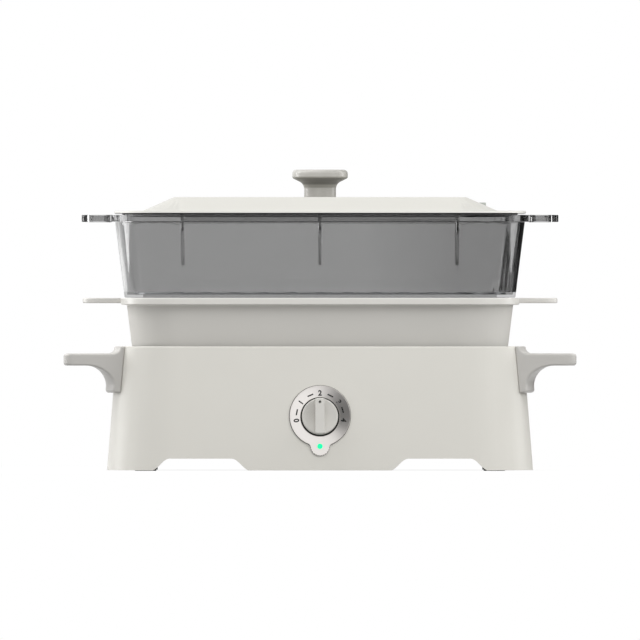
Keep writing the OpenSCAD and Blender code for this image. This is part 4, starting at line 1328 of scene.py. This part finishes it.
@dataclass
class Vessels:
    """The pot, the clear steamer and its tray.

    The steamer's faces below floor_z, the upright edges of its ribs and its inner faces each have
    a finish of their own, in the order of steamer_slots; the ribs' edges get a dark tint as painted
    shade. The tray's holes are those of the CAD tray: hole_pitch apart, and hole_margin or more
    from its edge.
    """

    shop: Workshop
    rim_edge: float = 0.9
    rim_z: float = 139.6
    steamer_edge: float = 0.6
    floor_z: float = 151.6
    rib_pitch: float = 116.5
    rib_half: float = 1.3
    collar_r: float = 4.0
    collar_w: float = 0.9
    hole_pitch: float = 24.0
    hole_margin: float = 14.0
    steamer_slots: Sequence[str] = (
        "steamer plastic", "steamer floor plastic", "steamer rib painted shade plastic", "steamer inner plastic",
    )

    def build(self) -> None:
        """Makes and places every piece."""
        self.pot()
        self.steamer()
        self.tray_collars()

    def pot(self) -> None:
        """The pot with soft edges; its rim has a lighter copy of its coat as painted light, and the rest a
        darker copy as painted shade under the rim.
        """
        pot = self.shop.softened("pot", "pot", self.rim_edge, 25.0, 0.7, 4)
        pot.data.materials.append(self.shop.finish("pot rim painted light coat"))
        heights = [vertex.co.z / MM for vertex in pot.data.vertices]
        for face in pot.data.polygons:
            # faces above rim_z take the lighter copy: painted light on the rim, painted shade below it
            face.material_index = int(min(heights[i] for i in face.vertices) > self.rim_z)

    def steamer(self) -> None:
        """The clear box as one closed skin, whose floor bends light less than its walls."""
        sketch = solid_copy(self.shop.node("steamer_box"))
        sketch.soften(self.steamer_edge, 3, lambda e: sharp_edge(e, 25.0, 0.4))
        everything = sketch.bm.verts[:] + sketch.bm.edges[:] + sketch.bm.faces[:]
        bmesh.ops.bisect_plane(
            sketch.bm, geom=everything, plane_co=(0, 0, self.floor_z), plane_no=(0, 0, 1)
        )
        _, on_floor, on_rib, inside = range(len(self.steamer_slots))
        for face in sketch.bm.faces:
            spot = face.calc_center_median()
            if spot.z < self.floor_z:
                face.material_index = on_floor
            # the ribs' upright edges get the dark tint: painted shade
            elif self._on_rib(spot, face.normal):
                face.material_index = on_rib
            elif face.normal.x * spot.x + face.normal.y * (spot.y - MID_Y) < 0.0:
                face.material_index = inside
        outer, *others = (self.shop.finish(name) for name in self.steamer_slots)
        piece = sketch.done("steamer_box_soft", outer)
        for finish in others:
            piece.data.materials.append(finish)
        self.shop.settle(piece, "steamer", "steamer_box")

    def _on_rib(self, spot: Vector, normal: Vector) -> bool:
        """Whether a face is the upright inner edge of a stacking rib."""
        off = abs(spot.x) if abs(spot.x) < self.rib_pitch / 2 else abs(abs(spot.x) - self.rib_pitch)
        return off < self.rib_half and abs(normal.y) > 0.5 and abs(normal.z) < 0.02

    def tray_collars(self) -> None:
        """A pressed collar round each steam hole, over the CAD tray."""
        low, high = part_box("steam_tray")
        half_w, half_d = (high.x - low.x) / 2 / MM, (high.y - low.y) / 2 / MM
        nx, ny = (int((half - self.hole_margin) // self.hole_pitch) for half in (half_w, half_d))
        spots = [
            Vector((i * self.hole_pitch, MID_Y + j * self.hole_pitch, high.z / MM))
            for i in range(-nx, nx + 1) for j in range(-ny, ny + 1) if abs(i) < nx or abs(j) < ny
        ]
        form = Sketch()
        r, w = self.collar_r, self.collar_w
        form.lathe(
            HERE,
            [(r + 0.02, -0.05), (r + w, -0.05), (r + 0.6 * w, 0.25), (r + 0.2, 0.3), (r + 0.02, 0.1)],
            20,
        )
        metal = self.shop.finish("tray metal")
        collar = form.done("collar form", metal, even=False)
        piece = Repeats("tray_collars", collar, spots, [(0.0, 0.0, 0.0)] * len(spots), metal).make()
        self.shop.settle(piece, "tray")


@dataclass
class Lid:
    """The lid: panel, seal and turned knob.

    The knob's faces that look down get darker copies of its plastic as painted shade, in the order of
    knob_shade_slots, as their normal's height passes each of knob_shade_falls.
    """

    shop: Workshop
    panel_edge: float = 0.8
    seal_edge: float = 0.3
    top_z: float = 232.2
    half_w: float = 174.85
    half_d: float = 121.85
    border_top: float = 220.5
    knob_h: float = 23.7
    neck_r: float = 13.6
    head_r: float = 23.7
    head_corner: float = 3.6
    flare_r: float = 7.0
    flare_z: float = 7.2
    lip_r: float = 2.6
    lip_z: float = 18.0
    knob_shade_slots: Sequence[str] = ("lid knob plastic", "lid knob flare painted shade", "lid knob underside painted shade")
    knob_shade_falls: Sequence[float] = (-0.12, -0.5)

    def build(self) -> None:
        """Makes and places every piece."""
        self.panel()
        self.shop.softened("lid_seal", "lid", self.seal_edge, 30.0, 0.5, 2)
        self.knob()

    def panel(self) -> None:
        """The panel with soft upper edges; its border's upright faces get a much lighter copy of its plastic,
        a painted highlight along the edge.
        """
        panel = self.shop.softened("lid_panel", "lid", self.panel_edge, 20.0, 0.9, 3, self.outer_edge)
        panel.data.materials.append(self.shop.finish("lid edge painted highlight plastic"))
        # the border's upright faces take the lighter copy: painted highlight
        for face in panel.data.polygons:
            below = face.center.z / MM < self.border_top - 0.1
            face.material_index = int(below and abs(face.normal.z) < 0.5)

    def outer_edge(self, edge: bmesh.types.BMEdge) -> bool:
        """Chooses the panel's edges to soften.

        Args:
            edge: An edge of the panel.

        Returns:
            Whether it lies on the border's upper side near its rim, or round the flat top.
        """
        heights = [v.co.z for v in edge.verts]
        if min(heights) < self.border_top - 0.1:
            return False
        reach = [max(abs(v.co.x) / self.half_w, abs(v.co.y - MID_Y) / self.half_d) for v in edge.verts]
        return min(heights) > self.top_z - 0.02 or min(reach) > 0.8

    def knob(self) -> None:
        """The mushroom knob as one smooth turned form, with painted shade on its faces that look down."""
        e = self.head_corner
        profile = [(0.0, 0.0), (self.neck_r, 0.0)]
        for degrees in range(0, 60, 4):
            t = math.radians(degrees)
            out, up = self.flare_r * (1 - math.cos(t)), self.flare_r * math.sin(t)
            profile.append((self.neck_r + out, self.flare_z + up))
        profile += arc(self.head_r - self.lip_r, self.lip_z, self.lip_r, -50, 0, 6)
        profile += arc(self.head_r - e, self.knob_h - e, e, 0, 90, 10)
        profile.append((0.0, self.knob_h))
        sketch = Sketch()
        sketch.lathe(Matrix.Translation((0, MID_Y, self.top_z)), profile)
        top, *others = (self.shop.finish(name) for name in self.knob_shade_slots)
        piece = sketch.done("lid_knob_turned", top, sharp=50.0)
        for finish in others:
            piece.data.materials.append(finish)
        for face in piece.data.polygons:
            # faces that look down take the darker copies: painted shade
            face.material_index = sum(face.normal.z < fall for fall in self.knob_shade_falls)
        self.shop.settle(piece, "lid", "lid_knob")


@dataclass(frozen=True)
class SoftBox:
    """A square lamp that points at the object.

    Attributes:
        name: The lamp's name.
        place: Where it stands, in metres.
        wide: Its width.
        high: Its height.
        power: Its power in watts.
        mirrored: Whether glossy surfaces show it.
    """

    name: str
    place: Place
    wide: float
    high: float
    power: float
    mirrored: bool = True

    def make(self) -> None:
        """Adds the lamp."""
        data = bpy.data.lights.new(self.name, "AREA")
        data.shape, data.size, data.size_y, data.energy = "RECTANGLE", self.wide, self.high, self.power
        lamp = linked(self.name, data)
        lamp.matrix_world = aimed(self.place)
        lamp.visible_glossy = self.mirrored


SOFT_BOXES = (
    SoftBox("key", (0.3, -1.3, 1.8), 1.2, 1.0, 12.0, mirrored=False),
    SoftBox("left_back", (-1.3, 0.45, 0.5), 0.5, 1.4, 8.5),
    SoftBox("left_front", (-1.5, -0.5, 0.8), 0.5, 0.8, 1.8),
    SoftBox("right_back", (1.3, 0.45, 0.5), 0.5, 1.4, 5.0),
    SoftBox("right_front", (1.5, -1.1, 0.7), 0.7, 1.2, 9.2, mirrored=False),
    SoftBox("top", (-0.8, -0.1, 1.6), 1.3, 1.3, 8.0),
    SoftBox("left_rim", (-1.0, 1.5, 0.4), 0.7, 1.2, 0.6),
)


def aimed(place: Place) -> Matrix:
    """The turn and place of a lamp or card whose -Z points at the object's middle, in metres."""
    way = Vector((0.0, 0.0, 0.13)) - Vector(place)
    return Matrix.Translation(place) @ way.to_track_quat("-Z", "Y").to_matrix().to_4x4()


@dataclass
class Studio:
    """Camera, floor, backdrop and lamps, in metres.

    The backdrop and the floor are white to the eye, but dark on the right in mirrored and bent
    rays. The backdrop's directions and the floor's places are given as start and end of the change.

    Attributes:
        width: How much the picture shows from left to right, at the depth true_y.
        aim_z: Height of the camera.
        distance: How far in front of the object's middle the camera stands.
        true_y: The depth that is shown true to scale.
        sensor: Width of the camera's sensor in millimetres.
        floor_half: Half the floor's width.
        dark: Directions between which the backdrop darkens for mirrored rays.
        bent: The same for bent rays.
        dark_level: Level on the dark side for mirrored rays.
        bent_level: The same for bent rays.
        floor_side: Places to the right between which the floor darkens.
        corner_side: The same for its front right corner, which only mirrored rays show.
        corner_front: Places in front between which that corner darkens.
        shade: Distances from the middle between which the object's shadow on the floor fades.
    """

    width: float = 0.544
    aim_z: float = 0.12784
    distance: float = 24.0
    true_y: float = -0.03
    sensor: float = 36.0
    floor_half: float = 30.0
    dark: Point = (0.06, 0.34)
    bent: Point = (0.16, 0.4)
    dark_level: float = 0.04
    bent_level: float = 0.5
    floor_side: Point = (0.3, 0.45)
    corner_side: Point = (0.04, 0.12)
    corner_front: Point = (-0.16, -0.22)
    shade: Point = (0.25, 0.6)

    def build(self) -> None:
        """Sets up the whole studio."""
        self.camera()
        self.floor()
        self.world()
        for box in SOFT_BOXES:
            box.make()
        self.card("dark_card", (0.9, -1.0, 0.1), 0.9, 1.3)
        bpy.context.scene.view_settings.view_transform = "Standard"

    def camera(self) -> None:
        """A level long-lens camera straight in front, true to scale at the depth true_y."""
        data = bpy.data.cameras.new("camera")
        data.sensor_width = self.sensor
        data.lens = self.sensor * (self.distance + self.true_y) / self.width
        data.clip_end = 100.0
        camera = linked("camera", data)
        camera.location = (0.0, -self.distance, self.aim_z)
        camera.rotation_euler = (math.pi / 2, 0.0, 0.0)
        bpy.context.scene.camera = camera

    def floor(self) -> None:
        """A pale floor that shows the object's shadow and is otherwise white."""
        material, graph = blank_material("floor white")
        path = graph.node("ShaderNodeLightPath")
        seen = self._seen(graph, path)
        tone = graph.math("ADD", graph.math("MULTIPLY", seen, 0.65), 0.3)
        matte = graph.node("ShaderNodeBsdfDiffuse", {"Color": tone})
        spot = graph.node("ShaderNodeTexCoord").outputs["Object"]
        side, back, _ = graph.node("ShaderNodeSeparateXYZ", {"Vector": spot}).outputs
        right = self._ramp(graph, side, self.corner_side)
        before = self._ramp(graph, back, self.corner_front)
        corner = graph.math("MULTIPLY", right, before)
        corner = graph.math("MULTIPLY", corner, path.outputs["Is Glossy Ray"])
        dark = graph.math("MAXIMUM", self._ramp(graph, side, self.floor_side), corner)
        level = self._ramp(graph, dark, (0.0, 1.0), 1.0, self._darkest(graph, path))
        level = graph.math("MAXIMUM", level, path.outputs["Is Camera Ray"])
        white = graph.node("ShaderNodeEmission", {"Color": WHITE, "Strength": level})
        away = graph.node("ShaderNodeVectorMath", {0: spot}, operation="LENGTH").outputs["Value"]
        share = graph.math("MULTIPLY", seen, self._ramp(graph, away, self.shade, 0.9, 1.0))
        mix = graph.node("ShaderNodeMixShader", {0: share, 1: matte.outputs[0], 2: white.outputs[0]})
        graph.node("ShaderNodeOutputMaterial", {"Surface": mix.outputs[0]})
        half = self.floor_half / MM
        self._sheet(HERE, half, half).done("floor", material, even=False)

    def world(self) -> None:
        """A white backdrop to the eye, and a plain level of soft light."""
        world = bpy.data.worlds.new("studio")
        bpy.context.scene.world = world
        world.use_nodes = True
        world.node_tree.nodes.clear()
        graph = Graph(world.node_tree)
        path = graph.node("ShaderNodeLightPath")
        way = graph.node("ShaderNodeTexCoord").outputs["Generated"]
        side, _, up = graph.node("ShaderNodeSeparateXYZ", {"Vector": way}).outputs
        fall = self._ramp(graph, up, (0.0, 0.8), 0.18, 0.95)
        soft = graph.node("ShaderNodeBackground", {"Color": (1.0, 0.995, 0.985, 1.0), "Strength": fall})
        mirrored = path.outputs["Is Glossy Ray"]
        start, end = (
            graph.math("SUBTRACT", bent, graph.math("MULTIPLY", mirrored, bent - dark))
            for bent, dark in zip(self.bent, self.dark)
        )
        level = self._ramp(graph, side, (start, end), 1.0, self._darkest(graph, path))
        level = graph.math("MAXIMUM", level, path.outputs["Is Camera Ray"])
        white = graph.node("ShaderNodeBackground", {"Color": WHITE, "Strength": level})
        seen = self._seen(graph, path)
        mix = graph.node("ShaderNodeMixShader", {0: seen, 1: soft.outputs[0], 2: white.outputs[0]})
        graph.node("ShaderNodeOutputWorld", {"Surface": mix.outputs[0]})

    def card(self, name: str, place: Place, wide: float, high: float) -> None:
        """Adds a dark card that only reflections show.

        Args:
            name: Its name.
            place: Where it stands.
            wide: Its width.
            high: Its height.
        """
        turn = aimed(place)
        turn.translation = turn.translation / MM
        sheet = self._sheet(turn, wide / 2 / MM, high / 2 / MM)
        material = bpy.data.materials.new("card black")
        material.use_nodes = True
        black = material.node_tree.nodes["Principled BSDF"].inputs["Base Color"]
        black.default_value = (0.02, 0.02, 0.02, 1.0)
        card = sheet.done(name, material, even=False)
        card.visible_camera = card.visible_diffuse = False
        card.visible_shadow = card.visible_transmission = False

    @staticmethod
    def _sheet(frame: Matrix, half_w: float, half_h: float) -> Sketch:
        """Starts a flat rectangular sheet.

        Args:
            frame: Where its middle lies, in millimetres.
            half_w: Half its width.
            half_h: Half its height.

        Returns:
            A sketch with its one face.
        """
        sketch = Sketch()
        sketch.bm.faces.new(sketch.ring(frame, [(x, y, 0) for x, y in oblong(half_w, half_h)]))
        return sketch

    @staticmethod
    def _seen(graph: Graph, path: bpy.types.Node) -> bpy.types.NodeSocket:
        """1 for a ray of the camera, or one that a surface mirrors or bends."""
        seen = graph.math("MAXIMUM", path.outputs["Is Camera Ray"], path.outputs["Is Glossy Ray"])
        return graph.math("MAXIMUM", seen, path.outputs["Is Transmission Ray"])

    @staticmethod
    def _ramp(
        graph: Graph, value: bpy.types.NodeSocket, span: Sequence[object], low: object = 0.0,
        high: object = 1.0,
    ) -> bpy.types.NodeSocket:
        """Turns a value into a level.

        Args:
            graph: The graph that holds it.
            value: What it depends on.
            span: Where the change starts and ends.
            low: Level before the start.
            high: Level past the end.

        Returns:
            The level's socket.
        """
        ends = {"From Min": span[0], "From Max": span[1], "To Min": low, "To Max": high}
        return graph.node("ShaderNodeMapRange", {"Value": value, **ends}).outputs[0]

    def _darkest(self, graph: Graph, path: bpy.types.Node) -> bpy.types.NodeSocket:
        """The level on the dark side: dark_level for mirrored rays and bent_level for bent ones."""
        less = graph.math("MULTIPLY", path.outputs["Is Glossy Ray"], self.bent_level - self.dark_level)
        return graph.math("SUBTRACT", self.bent_level, less)


def main() -> None:
    """Builds the scene."""
    logging.basicConfig(level=logging.INFO, format="%(name)s: %(message)s")
    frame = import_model()
    effects = Effects()
    shop = Workshop(frame, {f.name: f.make(effects) for f in FINISHES})
    Studio().build()
    shop.dress_nodes()
    for part in (Base(shop), Dial(shop), Vessels(shop), Lid(shop)):
        LOG.info("building %s", type(part).__name__.lower())
        part.build()
    LOG.info("size written")


if __name__ == "__main__":
    main()
